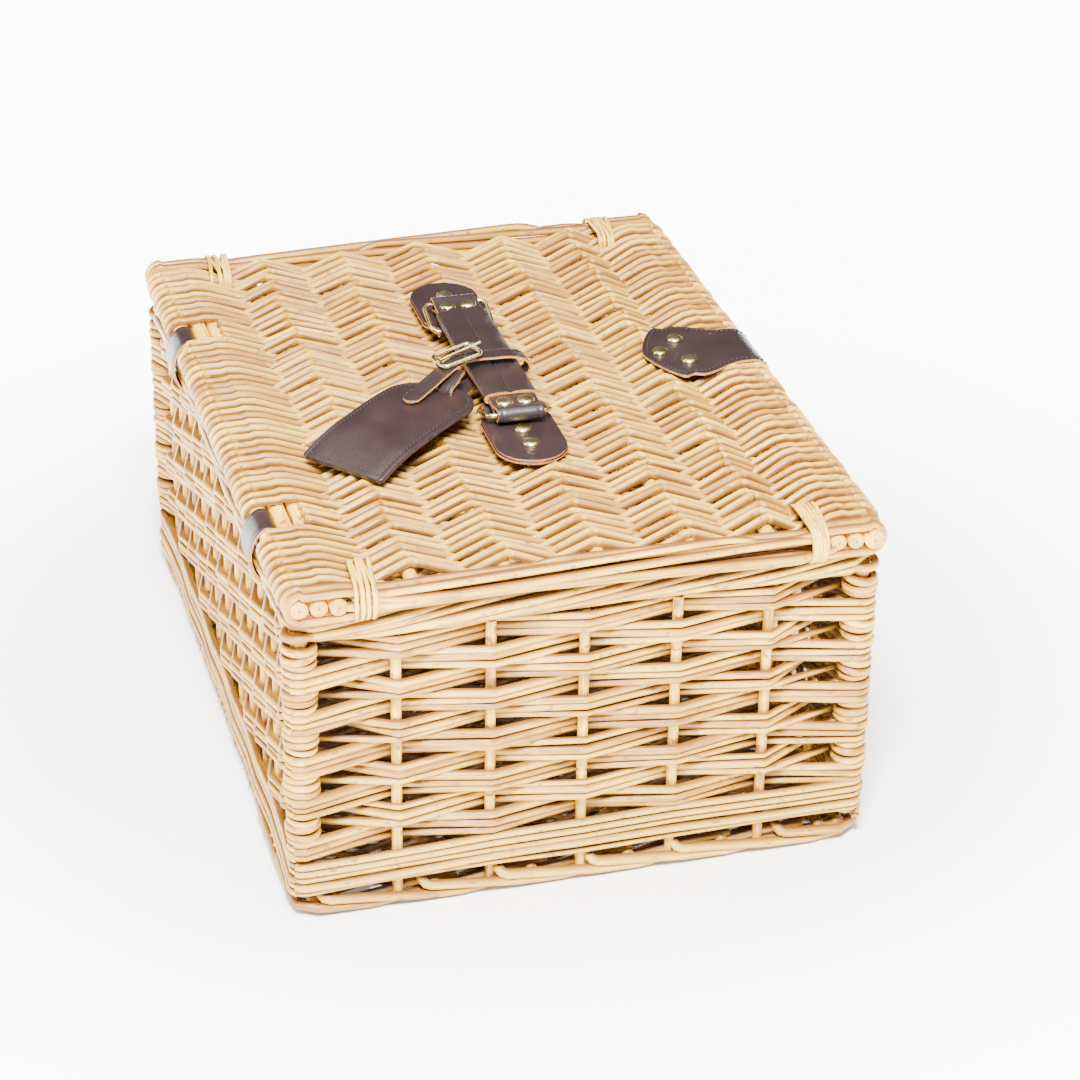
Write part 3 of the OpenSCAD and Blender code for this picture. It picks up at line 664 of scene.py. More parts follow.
def build_lid_weave():
    bundle = Bundle()
    supports = [(141.5, 10.0), (90, 0), (42, 0), (-8, 0), (-57, 0), (-100, 0), (-142, 9.5)]
    stick_r = [4.5, 3.6, 3.6, 3.6, 3.6, 3.6, 4.9]
    lean = [0.6, 5.5, 5.5, 5.5, 5.5, 5.0, 0.6]
    gaps = [(x - HINGE_GAP, x + HINGE_GAP) for x in HINGE_X]
    serpentine(bundle, random.Random(5), 192.5, 4.053, supports, LID_Z, stick_r, lean, (6.7, 8.0), gaps)
    piece(bundle.mesh("lid_weavers", WILLOW, lid_inside_shade, side=0), "lid", "willow", "lid_weave")


def build_base_weave():
    rng = random.Random(7)
    bundle, sticks = Bundle(), Bundle()
    supports = [(140, 8.0), (80, 0), (27, 0), (-27, 0), (-80, 0), (-140, 8.0)]
    lean = [0.4, 3.5, 3.5, 3.5, 3.5, 0.4]
    serpentine(bundle, rng, 187, 4.25, supports, BASE_TOP / 2, [3.2] * 6, lean, (6.8, 6.8),
               thin=0.35, z_floor=0.05)
    piece(bundle.mesh("base_weavers", WILLOW, floor_inside_shade, side=0), "basket", "willow", "base_weave")
    for y in (-146, -136, -80, -27, 27, 80, 136, 146):
        sticks.rod([(x, y, BASE_TOP / 2) for x in (-197, 0, 197)], 3.2, rng.random(), 10)
    piece(sticks.mesh("base_stick_set", WILLOW), "basket", "willow_stick", "base_sticks")


def build_lid_sticks():
    rng = random.Random(17)
    tip = 208.6
    for name, node, rows, half in (
            ("lid_stick_hinge", "lid_hinge_stick", [(HINGE_Y, 4.5)], tip),
            ("lid_stick_back_pair", "lid_sticks_back", [(141.2, 4.5), (131.6, 4.5)], tip),
            ("lid_stick_mid_set", "lid_sticks_mid", [(y, 3.6) for y in (90, 42, -8, -57, -100)], 194),
            ("lid_stick_front_set", "lid_sticks_front", [(-151.3, 5.1), (-141.4, 4.2), (-132.6, 4.2)], tip)):
        bundle = Bundle()
        for y, r in rows:
            bend = rng.uniform(-0.4, 0.4)
            length = half - rng.uniform(0.0, 2.0)
            path = [(x, y + bend * math.sin(x / 90), LID_Z) for x in np.linspace(-length, half, 24)]
            bundle.rod(path, r, rng.uniform(0.35, 0.8), 20, chamfer=0.25)
        piece(bundle.mesh(name, WILLOW, crisp=True, side=None), "lid", "willow_stick", node)


# the straight rods at each end of the lid: x, height, climb from end to end, first y and last y
END_RODS = [(207.2, 1.2, -5.5, -121, 128), (207.4, -2.6, 4.5, -131, 116), (205.2, 6.3, -4.5, -88, 124),
            (204.5, -6.0, 4.2, -127, 78), (200.5, 0.2, 1.0, -127, 125), (200.8, 6.6, 2.4, -124, 30)]


def build_lid_ends():
    """Long rods across each end of the lid: loops round the stick tips, and straight rods between them."""
    for side, s in (("left", -1), ("right", 1)):
        rng = random.Random(40 + s)
        bundle = Bundle()
        for x, inner, low, bow in ((198.4, 2.9, 2.4, 0.5), (204.4, 4.4, 4.6, 1.8)):
            r = rng.uniform(2.3, 2.6)
            top, bottom = [], []
            for y in np.linspace(-149, 149, 60):
                spread = smooth((abs(y) - 104) / 28)
                level = inner + 1.5 * math.sin(y / 48 + bow) * (1 - spread)
                out = s * (x + bow * math.sin(y / 60 + 1.3 * s))
                top.append((out, y, LID_Z + level * (1 - spread) + 7.1 * spread))
                bottom.append((out + s * 0.4, y, LID_Z - low * (1 - spread) - 7.1 * spread))
            back = arc_yz(s * x, 149, LID_Z, 8.2, 78, -78, 9)
            front = arc_yz(s * x, -149, LID_Z, 8.2, -102, -258, 9)
            bundle.rod(top + back + bottom[::-1] + front, r, rng.random(), closed=True)
        for x, z, climb, y0, y1 in END_RODS:
            y = np.linspace(y0, y1, 40)
            mid = (y - y.mean()) / (y1 - y0)
            ends = np.clip((np.abs(mid) - 0.40) / 0.1, 0, 1) ** 2
            path = np.stack([s * (x - 2.2 * ends + 0.5 * np.sin(y / 37)), y,
                             LID_Z + (z + climb * mid * 1.5) * (1 - 0.5 * ends)], axis=1)
            taper = np.linspace(1.08, 0.85, 40)[::1 if climb > 0 else -1]
            bundle.rod(path, rng.uniform(2.15, 2.75) * taper, rng.random(), chamfer=0.6)
        piece(bundle.mesh("lid_end_rods_" + side, WILLOW, crisp=True), "lid", "willow", "lid_border_" + side)


def build_bindings():
    """Flat split-willow skeins bound round the end rods and the outer sticks, one at each corner of the lid."""
    turns = 6
    x_in, x_out, z_top, z_low = 175.0, 211.4, 10.1, -9.0
    loop = [(x_out - 8 + 8 * math.cos(a), 9.6 * math.sin(a)) for a in np.radians(np.linspace(80, -80, 9))]
    loop += [(195, z_low + 0.9), (185, z_low + 0.6), (178.5, z_low + 0.9), (x_in, z_low + 3.5), (x_in, 0.0),
             (x_in, z_top - 3.2), (178.5, z_top - 0.7), (184, z_top), (195, z_top - 0.2)]
    for place, s in (("back_left", -1), ("front_left", -1), ("back_right", 1), ("front_right", 1)):
        node = "lid_binding_" + place
        rng = random.Random(sum(map(ord, node)))
        bundle = Bundle()
        for k in range(turns):
            y = centre_mm(node)[1] + (k - (turns - 1) / 2) * 1.95 + rng.uniform(-0.35, 0.35)
            skew = rng.uniform(-2.2, 2.2)
            path = [(s * x, y + skew * (x - 192) / 17 + rng.uniform(-0.15, 0.15), LID_Z + z) for x, z in loop]
            path = spline(path + path[:1], 2.5)[:-1]
            bundle.rod(path, 1.25, rng.uniform(0.6, 1.0), 8, closed=True, up=(0, 1, 0), flat=0.5)
        piece(bundle.mesh("binding_" + place, WILLOW, side=1), "lid", "willow", node)


# ---------------------------------------------------------------- leather

FACE, EDGE = 0, 1
# how a strip's face falls away towards its edge: distance in from the edge, and depth
EDGE_PROFILE = [(0.0, -0.32), (0.22, -0.10), (0.7, 0.0), (2.0, 0.0), (2.55, -0.16), (3.1, 0.0)]
HOLE_COLUMNS = (7, 10)


class Ribbon:
    """A leather strip: a path with a width at each station, dark faces, raw edges, and an optional slot.

    `hole` gives the slot's first and last station and half its width."""

    def __init__(self, path, side, half, thick, hole=None, closed=False):
        self.p = np.asarray(path, float)
        n = len(self.p)
        self.half = np.broadcast_to(np.asarray(half, float), (n,)).copy()
        self.thick, self.hole, self.closed = thick, hole, closed
        if closed:
            t = np.roll(self.p, -1, 0) - np.roll(self.p, 1, 0)
        else:
            t = np.gradient(self.p, axis=0)
        t /= np.linalg.norm(t, axis=1)[:, None]
        self.side = np.broadcast_to(np.asarray(side, float), (n, 3)).copy()
        self.side -= t * np.sum(self.side * t, axis=1)[:, None]
        self.side /= np.linalg.norm(self.side, axis=1)[:, None]
        self.normal = np.cross(self.side, t)
        self.s = lengths(self.p)

    def at(self, s, u, lift):
        """Point on the strip at length s, distance u from its middle line, `lift` above its middle surface."""
        c, d, n = [np.array([np.interp(s, self.s, rows[:, i]) for i in range(3)])
                   for rows in (self.p, self.side, self.normal)]
        return c + d * u + n * lift

    def outline(self, inset):
        """One edge as (s, u) points, moved in by `inset`, from the first end round to the last."""
        e = np.stack([self.s, self.half], axis=1)
        t = np.gradient(e, axis=0)
        t /= np.maximum(np.linalg.norm(t, axis=1), 1e-9)[:, None]
        moved = e + np.stack([t[:, 1], -t[:, 0]], axis=1) * inset
        moved = moved[moved[:, 1] > 0.3]
        return moved[np.argsort(moved[:, 0])]

    def columns(self, w):
        """Places across the strip where it is w wide on each side, with the depth of the face at each."""
        k = min(1.0, w / 5.0)
        left = [(-w + i * k, d * min(1.0, k * 1.2)) for i, d in EDGE_PROFILE]
        right = [(w - i * k, d * min(1.0, k * 1.2)) for i, d in EDGE_PROFILE][::-1]
        reach = w - 3.1 * k
        middle = [u * reach for u in (-0.75, -0.45, -0.15, 0.15, 0.45, 0.75)]
        if self.hole and reach >= self.hole[2] + 0.5:
            slot = self.hole[2]
            middle = [-(reach + slot) / 2, -slot, -slot / 2, slot / 2, slot, (reach + slot) / 2]
        return left + [(u, 0.0) for u in middle] + right

    def build(self, name):
        table = np.array([self.columns(w) for w in self.half])
        across, drop = table[:, :, :1], table[:, :, 1:]
        base = self.p[:, None, :] + self.side[:, None, :] * across
        top = base + self.normal[:, None, :] * (self.thick / 2 + drop)
        low = base - self.normal[:, None, :] * (self.thick / 2 + drop * 0.6)
        n, m = table.shape[:2]
        ti = np.arange(n * m).reshape(n, m)
        li = ti + n * m
        a, b = HOLE_COLUMNS
        quads, mats = [], []
        for i in range(n if self.closed else n - 1):
            j = (i + 1) % n
            in_hole = self.hole and self.hole[0] <= i and j <= self.hole[1]
            for c in range(m - 1):
                if not (in_hole and a <= c < b):
                    quads += [(ti[i, c], ti[i, c + 1], ti[j, c + 1], ti[j, c]),
                              (li[i, c], li[j, c], li[j, c + 1], li[i, c + 1])]
                    mats += [FACE, FACE]
            edges = [(ti[i, 0], ti[j, 0], li[j, 0], li[i, 0]), (ti[i, -1], li[i, -1], li[j, -1], ti[j, -1])]
            if in_hole:
                edges += [(ti[i, a], li[i, a], li[j, a], ti[j, a]), (ti[i, b], ti[j, b], li[j, b], li[i, b])]
                for c in range(a, b):
                    if i == self.hole[0]:
                        edges.append((ti[i, c], ti[i, c + 1], li[i, c + 1], li[i, c]))
                    if j == self.hole[1]:
                        edges.append((ti[j, c], li[j, c], li[j, c + 1], ti[j, c + 1]))
            quads += edges
            mats += [EDGE] * len(edges)
        if not self.closed:
            for c in range(m - 1):
                quads += [(ti[0, c], li[0, c], li[0, c + 1], ti[0, c + 1]),
                          (ti[-1, c], ti[-1, c + 1], li[-1, c + 1], li[-1, c])]
                mats += [EDGE, EDGE]
        mesh = mesh_from_arrays(name, np.vstack([top.reshape(-1, 3), low.reshape(-1, 3)]), np.array(quads))
        obj = add_object(name, mesh, LEATHER, RAW)
        if len(mesh.polygons) == len(mats):
            mesh.polygons.foreach_set("material_index", np.array(mats, np.int32))
        sharpen(obj)
        return obj


def sharpen(obj):
    """Keeps the edges crisp against the faces."""
    obj.data.update()
    obj.data.set_sharp_from_angle(angle=math.radians(50))


def stitches(ribbon, line, name, body, lift=0.0, pitch=3.3, mirrored=True, run=2.2):
    """A row of thread stitches on a strip, along a line of (s, u) points."""
    bundle = Bundle()
    line = np.asarray(line, float)
    heights = ribbon.thick / 2 + lift + np.array([-0.22, 0.14, 0.14, -0.22])
    for sign in ((1, -1) if mirrored else (1,)):
        pts = line * np.array([1, sign])
        d = lengths(pts)
        for k in range(int(d[-1] / pitch)):
            q = k * pitch + 0.4 + run * np.array([0.0, 0.25, 0.75, 1.0])
            places = zip(np.interp(q, d, pts[:, 0]), np.interp(q, d, pts[:, 1]), heights)
            bundle.rod([ribbon.at(*place) for place in places], [0.25, 0.36, 0.36, 0.25], 0.5, 6)
    return piece(bundle.mesh(name, THREAD), body, "leather")


def stations(length, start_round, end_round, step=2.5, extra=()):
    """Stations along a strip, close together where an end is rounded."""
    s = list(np.arange(0, length, step)) + [length]
    for r, flip in ((start_round, False), (end_round, True)):
        if r:
            q = [r * (1 - math.cos(a)) for a in np.linspace(0, math.pi / 2, 14)]
            s += [length - v for v in q] if flip else q
    s = sorted(set(round(v, 4) for v in s + list(extra) if -1e-6 <= v <= length + 1e-6))
    out = [s[0]]
    for v in s[1:]:
        if v - out[-1] > 0.02 or v in extra:
            out.append(v)
    return np.array(out)


def nearest(s, value):
    """Which station is nearest to a value."""
    return int(np.argmin(abs(s - value)))


def round_half(s, length, half, start_round, end_round):
    """Half width of a strip whose ends are rounded with the given radii."""
    w = np.full(len(s), float(half))
    for r, d in ((start_round, s), (end_round, length - s)):
        if r:
            near = d < r
            w[near] = np.minimum(w[near], half - r + np.sqrt(np.maximum(r * r - (r - d[near]) ** 2, 0)))
    return np.maximum(w, 0.05)


# the tag and its strap's tail lie this way on the lid
TAG_TURN = math.radians(131)
TAG_SLOT = (8.5, 12.0)


def build_tag():
    """Stitched tag with burnished edges, arched over the lid, its far end hanging flat."""
    start = np.array([-18.0, 25.0])
    d = np.array([math.cos(TAG_TURN), math.sin(TAG_TURN), 0.0])
    across = np.array([d[1], -d[0], 0.0])
    length, half, arch_r = 103.0, 26.0, 247.0
    arch_s, arch_z = 39.95, -37.4
    s = stations(length, half, 2.0, 2.5, TAG_SLOT)
    z = arch_z + np.sqrt(arch_r ** 2 - (s - arch_s) ** 2)
    z = z + 0.9 * np.sin(np.clip((s - 60) / 43, 0, 1) * math.pi)
    path = np.stack([start[0] + d[0] * s, start[1] + d[1] * s, z], axis=1)
    slot = [nearest(s, v) for v in TAG_SLOT]
    strip = Ribbon(path, across, round_half(s, length, half, half, 2.0), 2.8, (*slot, 6.8))
    obj = strip.build("tag_leather")
    obj.data.materials.append(LEATHER_EDGE)
    for p in obj.data.polygons:
        if p.material_index == EDGE:
            p.material_index = 2
    piece(obj, "luggage_tag", "leather", "luggage_tag")
    line = strip.outline(3.0)
    line = line[line[:, 0] < strip.s[-1] - 3.0]
    end = np.array([[strip.s[-1] - 3.0, u] for u in np.linspace(23.0, 0.5, 12)])
    stitches(strip, np.vstack([line, end]), "tag_stitching", "luggage_tag", pitch=3.0)


def build_straps():
    """Hinge straps: round the outer stick, out over the lid's edge and under the border."""
    for side, x in zip(("left", "right"), HINGE_X):
        path = arc_yz(x, HINGE_Y, LID_Z, 5.5, 164, 45, 12)
        path += arc_yz(x, 140.7, 179.7, 20.45, 42, -34, 12)
        path += arc_yz(x, POST_Y, BORDER_Z, 8.95, -40, -195, 16)
        loop = Ribbon(path, (1, 0, 0), 11.0, 1.7, closed=True).build("hinge_loop_" + side)
        tail = arc_yz(x, POST_Y, BORDER_Z, 10.6, 165, 228, 10)[::-1]
        end = Ribbon(tail, (1, 0, 0), 11.0, 1.6).build("hinge_tail_" + side)
        piece(loop, "basket", "leather", "hinge_strap_" + side)
        piece(end, "basket", "leather")


def rivets(name, node, body, axis, centres, r, h, shank, foot=0.0):
    """Turned rivets: gently domed heads with a rounded rim, each on a shank, with a foot if it goes through."""
    profile = [(0.0, h), (0.35 * r, 0.985 * h), (0.62 * r, 0.93 * h), (0.8 * r, 0.80 * h), (0.91 * r, 0.60 * h),
               (0.98 * r, 0.34 * h), (r, 0.12 * h), (0.97 * r, 0.0), (0.45 * r, -0.02), (0.45 * r, -shank)]
    profile += [(foot, -shank), (foot, -shank - 0.9), (0.0, -shank - 0.9)] if foot else [(0.0, -shank)]
    radius, height = np.array(profile).T[:, :, None, None]
    sides = 28
    ang = (np.arange(sides) * 2 * math.pi / sides)[:, None]
    verts, quads = [], []
    axis = unit(axis)
    a = unit(np.cross(axis, [0.2, 0.9, 0.3]))
    spoke = a * np.cos(ang) + np.cross(axis, a) * np.sin(ang)
    for i, centre in enumerate(centres):
        verts.append((np.asarray(centre) + axis * height + np.maximum(radius, 0.02) * spoke).reshape(-1, 3))
        index = np.arange(len(profile) * sides).reshape(-1, sides) + i * len(profile) * sides
        quads.append(tube_quads(index, inward=True))
    obj = add_object(name, mesh_from_arrays(name, np.vstack(verts), np.vstack(quads)), BRASS)
    sharpen(obj)
    return piece(obj, body, "brass", node)


# the ring's bars in the tab and in the tongue: distance from the grip's middle, and height
RING_INNER, RING_OUTER = np.array([49.4, 202.65]), np.array([72.65, 209.3])


def build_grip():
    """Stuffed leather sleeve with a sewn seam along its top, open at both ends."""
    hx, hy, gz = GRIP
    half_l = 54.5
    outer_w, outer_t, skin = 15.0, 4.0, 1.7
    xs = np.concatenate([np.linspace(-half_l, -half_l + 4, 5), np.linspace(-half_l + 6, half_l - 6, 46),
                         np.linspace(half_l - 4, half_l, 5)])
    n, m = 64, len(xs)
    rng = random.Random(3)
    waves = [(rng.uniform(0.05, 0.12), rng.uniform(-0.3, 0.3), rng.uniform(0.1, 0.3), rng.uniform(0, 6))
             for _ in range(5)]
    ang = 2 * math.pi * np.arange(n) / n
    c, s = np.cos(ang), np.sin(ang)

    def section(x, w, t, seam):
        pinch = math.exp(-((x + 17.0) / 7.0) ** 2)
        end = smooth((abs(x) - 46) / 8.5)
        y = w * np.copysign(np.abs(c) ** 0.72, c)
        z = t * np.copysign(np.abs(s) ** 0.62, s) * (1.0 - 0.10 * pinch - 0.06 * end)
        if seam:
            z = z - np.where(s > 0, 0.75 * np.exp(-(y / 0.9) ** 2), 0)
            z = z + sum(amp * np.sin(fx * y + fy * x + ph) for amp, fx, fy, ph in waves)
        return np.stack([np.full(n, hx + x), hy + y, gz + z], axis=1)

    outer = np.vstack([section(x, outer_w, outer_t, True) for x in xs])
    inner = np.vstack([section(x, outer_w - skin, outer_t - skin, False) for x in xs])
    oi = np.arange(m * n).reshape(m, n)
    ii = oi + m * n
    rims = [tube_quads(np.stack([oi[0], ii[0]])), tube_quads(np.stack([ii[-1], oi[-1]]))]
    skins = [tube_quads(oi, inward=True), tube_quads(ii)]
    mesh = mesh_from_arrays("grip_sleeve", np.vstack([outer, inner]), np.vstack(skins + rims))
    grip = add_object("grip_sleeve", mesh, LEATHER, RAW)
    mats = np.repeat([FACE, EDGE], [2 * (m - 1) * n, 2 * n])
    mesh.polygons.foreach_set("material_index", mats.astype(np.int32))
    sharpen(grip)
    piece(grip, "grip", "leather", "grip_cover")
    seam_path = [(x, hy, gz + outer_t) for x in np.linspace(hx - 54, hx + 54, 60)]
    seam = Ribbon(seam_path, (0, -1, 0), 1.0, 0.1)
    stitches(seam, [(2, 0.0), (106, 0.0)], "grip_stitching", "grip", lift=-0.55, pitch=3.4, mirrored=False)


def build_handle():
    """At each end of the grip: a tongue folded round the ring, and a tab on the lid that holds the ring."""
    hx, hy, _ = GRIP
    tip, half_w, neck = 115.5, 19.5, 14.6

    def tab_width(u):
        body = neck + (half_w - neck) * smooth((abs(u) - 56) / 9.0)
        if u > tip - half_w:
            body = min(body, math.sqrt(max(half_w ** 2 - (u - tip + half_w) ** 2, 0.0)))
        return max(body, 0.05)

    def turn(bar, r, first, last):
        """Points on a leather fold round one of the ring's bars."""
        angles = np.radians(np.linspace(first, last, 12))
        return [bar + r * np.array([math.cos(a), math.sin(a)]) for a in angles]

    for side, s in (("left", -1), ("right", 1)):
        def place(u, v, z):
            return np.array([hx + s * u, hy + v, z])

        # tongue: leaves the grip, folds round the ring's outer bar and comes back underneath
        profile = [(50, 210.9), (57, 211.0), (64, 211.0), (69, 211.9)]
        profile += turn(RING_OUTER, 3.4, 100, -95)
        profile += [(68.3, 207.2), (64, 208.9), (58, 209.0), (55.8, 209.0)]
        path = spline([place(u, 0, z) for u, z in profile], 1.6)
        tongue = Ribbon(path, (0, -s, 0), 13.0, 1.7).build("tongue_leather_" + side)
        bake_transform(tongue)
        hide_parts("tongue_" + side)
        rivets("tongue_rivet_heads_" + side, "tongue_rivets_" + side, "tongue_" + side, (0, 0, 1),
               [place(63.1, v, 211.8) for v in (-6, 6)], 4.8, 1.8, 3.9, 3.0)

        # tab on the lid: two layers folded round the ring's inner bar, rounded tip, stitched
        fine = [tip - half_w * (1 - math.cos(a)) for a in np.linspace(0, math.pi / 2, 16)]
        run = sorted(set([round(v, 3) for v in fine] + list(np.arange(54.0, 96.0, 2.0))), reverse=True)
        low = [(u, 200.35) for u in run] + [(52.4, 200.4)]
        low += turn(RING_INNER, 2.25, -80, -280)
        top = [(53.5, 203.0)] + [(u, 202.0) for u in run[::-1] if u > 55.5]
        widths = [tab_width(u) * (1.02 if z < 201 else 1.0) for u, z in low + top]
        path = np.array([place(u, 0, z) for u, z in low + top])
        tab = Ribbon(path, (0, s, 0), widths, 1.45).build("tab_leather_" + side)
        piece(tab, "lid", "leather", "handle_tab_" + side)
        upper = Ribbon(path[len(low):], (0, s, 0), widths[len(low):], 1.45)
        stitches(upper, upper.outline(2.6), "tab_stitching_" + side, "lid", pitch=2.9)
        rivets("tab_rivet_heads_" + side, "tab_rivets_" + side, "lid", (0, 0, 1),
               [place(u, 0, 202.75) for u in (79, 96)], 4.9, 2.1, 21.0, 3.4)


CLASP_X = 10.0
LID_EDGE_Y = -151.3
BUTTON_Z = 130.0
# the flap's half width against the length along it
FLAP_WIDTHS = [(0, 0.05), (1.0, 5.0), (3.2, 12.0), (6.5, 19.5), (10.5, 26.5), (14.0, 31.0), (16.5, 31.8),
               (19.0, 30.6), (21.0, 29.4), (23.0, 30.4), (26.0, 31.8), (30.0, 30.8), (36.0, 28.0), (43.0, 23.8), (50.0, 21.3),
               (58.3, 21.0), (90, 21.0)]


def build_flap():
    """Flap riveted on the lid, running over its front edge."""
    flap_z, thick = LID_TOP + 2.1, 1.8
    ys = np.concatenate([np.linspace(-93, -96, 7)[:-1], np.linspace(-96, LID_EDGE_Y, 34)])
    path = [np.array([CLASP_X, y, flap_z]) for y in ys]
    path += arc_yz(CLASP_X, LID_EDGE_Y, LID_Z, flap_z - LID_Z, 92, 176, 16)[1:]
    flap = Ribbon(path, (-1, 0, 0), np.interp(lengths(path), *zip(*FLAP_WIDTHS)), thick)
    piece(flap.build("clasp_flap_leather"), "lid", "leather", "clasp_flap")
    stitches(flap, flap.outline(2.7), "clasp_stitching", "lid", pitch=3.0)
    heads = [(CLASP_X + u, y, flap_z + thick / 2 + 0.05) for u, y in ((0, -103), (14, -116), (-14, -116))]
    rivets("clasp_rivet_heads", "clasp_flap_rivets", "lid", (0, 0, 1), heads, 4.8, 2.0, 21.0, 3.4)


def build_clasp():
    """Strap that swings, drawn along its own length from the pivot, leaning out from the wall."""
    pivot = np.array([CLASP_X, -161.4, 189.6])
    a = math.radians(9)
    down = np.array([0, -math.sin(a), -math.cos(a)])
    length, tip_half, first_half = 78.0, 15.0, 21.0
    slot_at = pivot[2] - BUTTON_Z
    slot = (slot_at - 9.4, slot_at + 9.4)
    s = stations(length, 0, tip_half, 2.5, slot)
    half = np.interp(s, [0, slot_at - 12, length], [first_half, tip_half, tip_half])
    half = np.where(s > length - tip_half, round_half(s, length, tip_half, 0, tip_half), half)
    path = pivot + down * s[:, None] + down * 0.3
    strap = Ribbon(path, (-1, 0, 0), half, 1.8, (*[nearest(s, v) for v in slot], 4.2))
    piece(strap.build("clasp_strap_leather"), "clasp", "leather", "clasp_strap")
    line = strap.outline(2.6)
    stitches(strap, line[line[:, 0] > 7.0], "clasp_strap_stitching", "clasp", pitch=3.0)


def build_lock_patch():
    """Leather patch behind the turn button, with its rivets."""
    lo, hi = box_mm("wall_patch")
    mid = (lo + hi) / 2
    s = stations(44.0, 6.0, 6.0, 2.0)
    path = [(mid[0], mid[1], hi[2] - v) for v in s]
    patch = Ribbon(path, (-1, 0, 0), round_half(s, 44.0, 23.0, 6.0, 6.0), 1.5)
    piece(patch.build("lock_patch_leather"), "basket", "leather", "wall_patch")
    heads = [(CLASP_X + u, lo[1] - 0.05, BUTTON_Z + v) for u in (-17, 17) for v in (-16, 16)]
    rivets("lock_rivet_heads", "wall_patch_rivets", "basket", (0, -1, 0), heads, 3.3, 1.3, 15.6, 3.2)


# points of the tag's strap, each with how far its width has turned from the grip's direction to the tail's
TAG_STRAP = [(-13.2, 21.6, 215.6, 1.0), (-15.4, 24.0, 214.6, 1.0), (-20.0, 27.6, 212.9, 1.0),
             (-23.5, 31.0, 211.2, 1.0), (-24.7, 32.6, 207.5, 1.0), (-23.2, 30.9, 203.2, 1.0),
             (-19.0, 26.2, 201.3, 1.0), (-13.0, 19.0, 202.6, 0.9), (-7.5, 12.5, 203.9, 0.6),
             (-4.5, 4.0, 204.4, 0.15), (-4.0, -8.0, 204.4, 0.0), (-4.0, -16.0, 205.0, 0.0),
             (-4.0, -20.6, 208.0, 0.0), (-4.0, -21.0, 212.0, 0.0), (-4.0, -17.6, 216.0, 0.0),
             (-4.0, -10.0, 218.0, 0.0), (-4.0, 0.0, 218.3, 0.05), (-4.6, 9.0, 218.8, 0.3),
             (-7.0, 17.5, 219.0, 0.7), (-11.5, 25.0, 218.3, 1.0), (-18.5, 33.2, 216.9, 1.0),
             (-27.0, 43.0, 214.8, 1.0), (-34.0, 51.0, 213.4, 1.0), (-38.5, 56.2, 212.9, 1.0)]


def build_tag_strap():
    """One strip: from the buckle down through the tag's slot, under the grip, over it and out to its tail."""
    half = 5.0
    curve = spline(TAG_STRAP, 1.5)
    path, turned = curve[:, :3], curve[:, 3:]
    across = np.array([math.sin(TAG_TURN), -math.cos(TAG_TURN), 0.0])
    side = np.array([1.0, 0.0, 0.0]) * (1 - turned) + across * turned
    d = lengths(path)
    total = d[-1]
    tip = [total - half * (1 - math.cos(t)) for t in np.linspace(0, math.pi / 2, 10)]
    q = np.array(sorted(list(d[d < total - half]) + tip))
    path, side = [np.stack([np.interp(q, d, rows[:, i]) for i in range(3)], axis=1) for rows in (path, side)]
    strip = Ribbon(path, side, round_half(q, total, half, 0, half), 1.6)
    piece(strip.build("tag_strap_leather"), "tag_strap", "leather", "tag_strap")


# ---------------------------------------------------------------- metal


def build_rings():
    """Brass wire rings between the tabs and the tongues, as rounded rectangles."""
    hx, hy, _ = GRIP
    length = np.linalg.norm(RING_OUTER - RING_INNER)
    d = (RING_OUTER - RING_INNER) / length
    half_w, outer_r, inner_r = 18.0, 4.5, 6.0
    corners = ((length - outer_r, half_w - outer_r, 0, outer_r), (inner_r, half_w - inner_r, 90, inner_r),
               (inner_r, -half_w + inner_r, 180, inner_r), (length - outer_r, -half_w + outer_r, 270, outer_r))
    for side, s in (("left", -1), ("right", 1)):
        pts = []
        for along, across, first, r in corners:
            for a in np.radians(first + np.linspace(0, 90, 9)):
                u, z = RING_INNER + d * (along + r * math.cos(a))
                pts.append(np.array([hx + s * u, hy + across + r * math.sin(a), z]))
        bundle = Bundle()
        bundle.rod(densify(pts, 3.0), 1.4, 0.5, 14, closed=True)
        piece(bundle.mesh("wire_ring_" + side, BRASS), "ring_" + side, "brass", "ring_" + side)


def densify(pts, step):
    """A closed line with points added so that none are much more than `step` apart."""
    out = []
    for a, b in zip(pts, pts[1:] + pts[:1]):
        n = max(1, int(np.linalg.norm(b - a) / step))
        out += [a + (b - a) * k / n for k in range(n)]
    return out


def finish_cad_nodes():
    """The exact CAD parts that stay get their procedural materials."""
    keep = {node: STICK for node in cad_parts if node.startswith(("corner_post_", "stakes_"))}
    for node in ("hinge_rivets", "lock_plate", "clasp_eyelet", "turn_button", "tag_buckle_frame", "tag_prong"):
        keep[node] = BRASS
    keep["grip_core"] = THREAD
    for node, material in keep.items():
        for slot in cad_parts[node].material_slots:
            slot.material = material


# ---------------------------------------------------------------- stage and camera


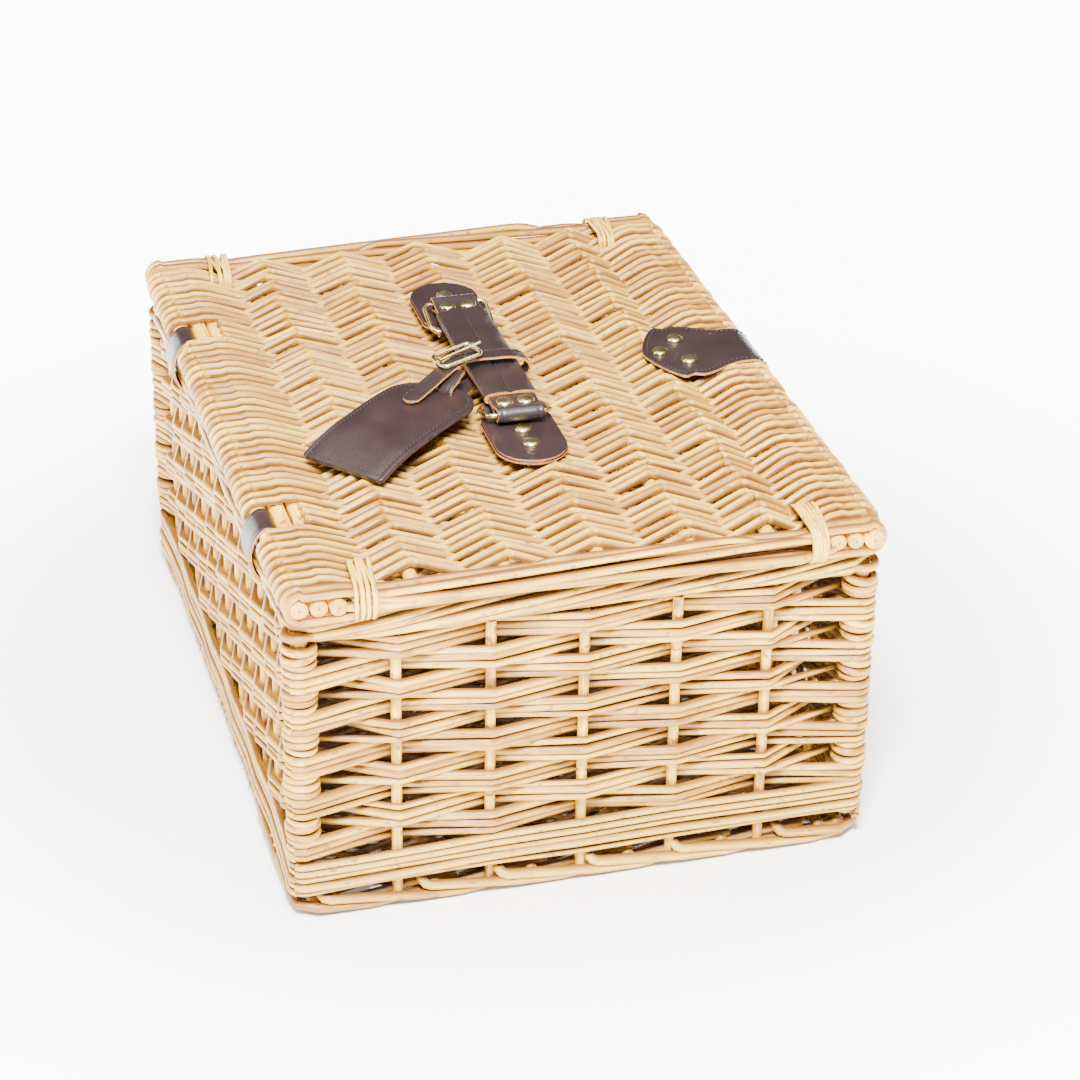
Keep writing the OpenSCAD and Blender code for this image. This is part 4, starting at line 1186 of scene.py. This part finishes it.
def build_stage():
    """Floor, background and three soft lights."""
    shader = Shader("pale_floor")
    # the sweep glows away from the basket, as a brightly lit studio sweep does
    far = shader.add("VectorMath")
    far.operation = "LENGTH"
    shader.feed(far.inputs[0], shader.place())
    glow = shader.ramp(shader.math("MULTIPLY", far.outputs["Value"], 0.15),
                       (0.0, 0.0), (0.04, 0.02), (0.08, 0.60), (0.30, 1.0))
    shader.surface(colour=(0.96, 0.96, 0.96), roughness=0.9, emission=(1, 1, 1),
                   glow=shader.math("MULTIPLY", glow, 12.0))
    size = 6.0
    mesh = bpy.data.meshes.new("floor")
    corners = [(-size, -size, 0), (size, -size, 0), (size, size, 0), (-size, size, 0)]
    mesh.from_pydata(corners, [], [(0, 1, 2, 3)])
    floor = add_object("floor", mesh, shader.material)
    world = bpy.context.scene.world or bpy.data.worlds.new("studio")
    bpy.context.scene.world = world
    world.use_nodes = True
    background = world.node_tree.nodes["Background"]
    background.inputs[0].default_value = (1.0, 1.0, 1.0, 1)
    background.inputs[1].default_value = 0.16
    aim = Vector((0, 0, 0.1))
    for name, where, energy, width in (("key", (-1.3, 0.35, 1.9), 330.0, 0.6),
                                       ("overhead", (-0.2, 0.1, 2.3), 95.0, 2.4),
                                       ("side", (0.3, 2.0, 1.1), 30.0, 1.0)):
        data = bpy.data.lights.new(name, "AREA")
        data.energy = energy
        data.size = width
        light = bpy.data.objects.new(name, data)
        light.location = where
        light.rotation_mode = "QUATERNION"
        light.rotation_quaternion = (aim - Vector(where)).to_track_quat("-Z", "Y")
        bpy.context.scene.collection.objects.link(light)


def build_camera():
    """A long lens that looks down at the left end and the lid."""
    azimuth, elevation, roll = math.radians(-105.99), math.radians(29.09), math.radians(0.91)
    place = Vector((-1.5797, 0.4216, 1.0088))
    back = Vector((math.sin(azimuth) * math.cos(elevation), -math.cos(azimuth) * math.cos(elevation),
                   math.sin(elevation)))
    data = bpy.data.cameras.new("camera")
    data.lens = 109.0
    data.sensor_width = 36.0
    data.clip_end = 50
    cam = bpy.data.objects.new("camera", data)
    cam.location = place
    cam.rotation_mode = "QUATERNION"
    turn = (-back).to_track_quat("-Z", "Y")
    cam.rotation_quaternion = turn @ Matrix.Rotation(roll, 3, "Z").to_quaternion()
    bpy.context.scene.collection.objects.link(cam)
    bpy.context.scene.camera = cam


build_camera()
build_stage()
build_walls()
build_top_border()
build_foot_border("left", 0.0)
build_foot_border("right", LOOP_LENGTH / 2)
build_lid_weave()
build_base_weave()
build_lid_sticks()
build_lid_ends()
build_bindings()
build_tag()
build_straps()
build_grip()
build_handle()
build_flap()
build_clasp()
build_lock_patch()
build_tag_strap()
build_rings()
finish_cad_nodes()
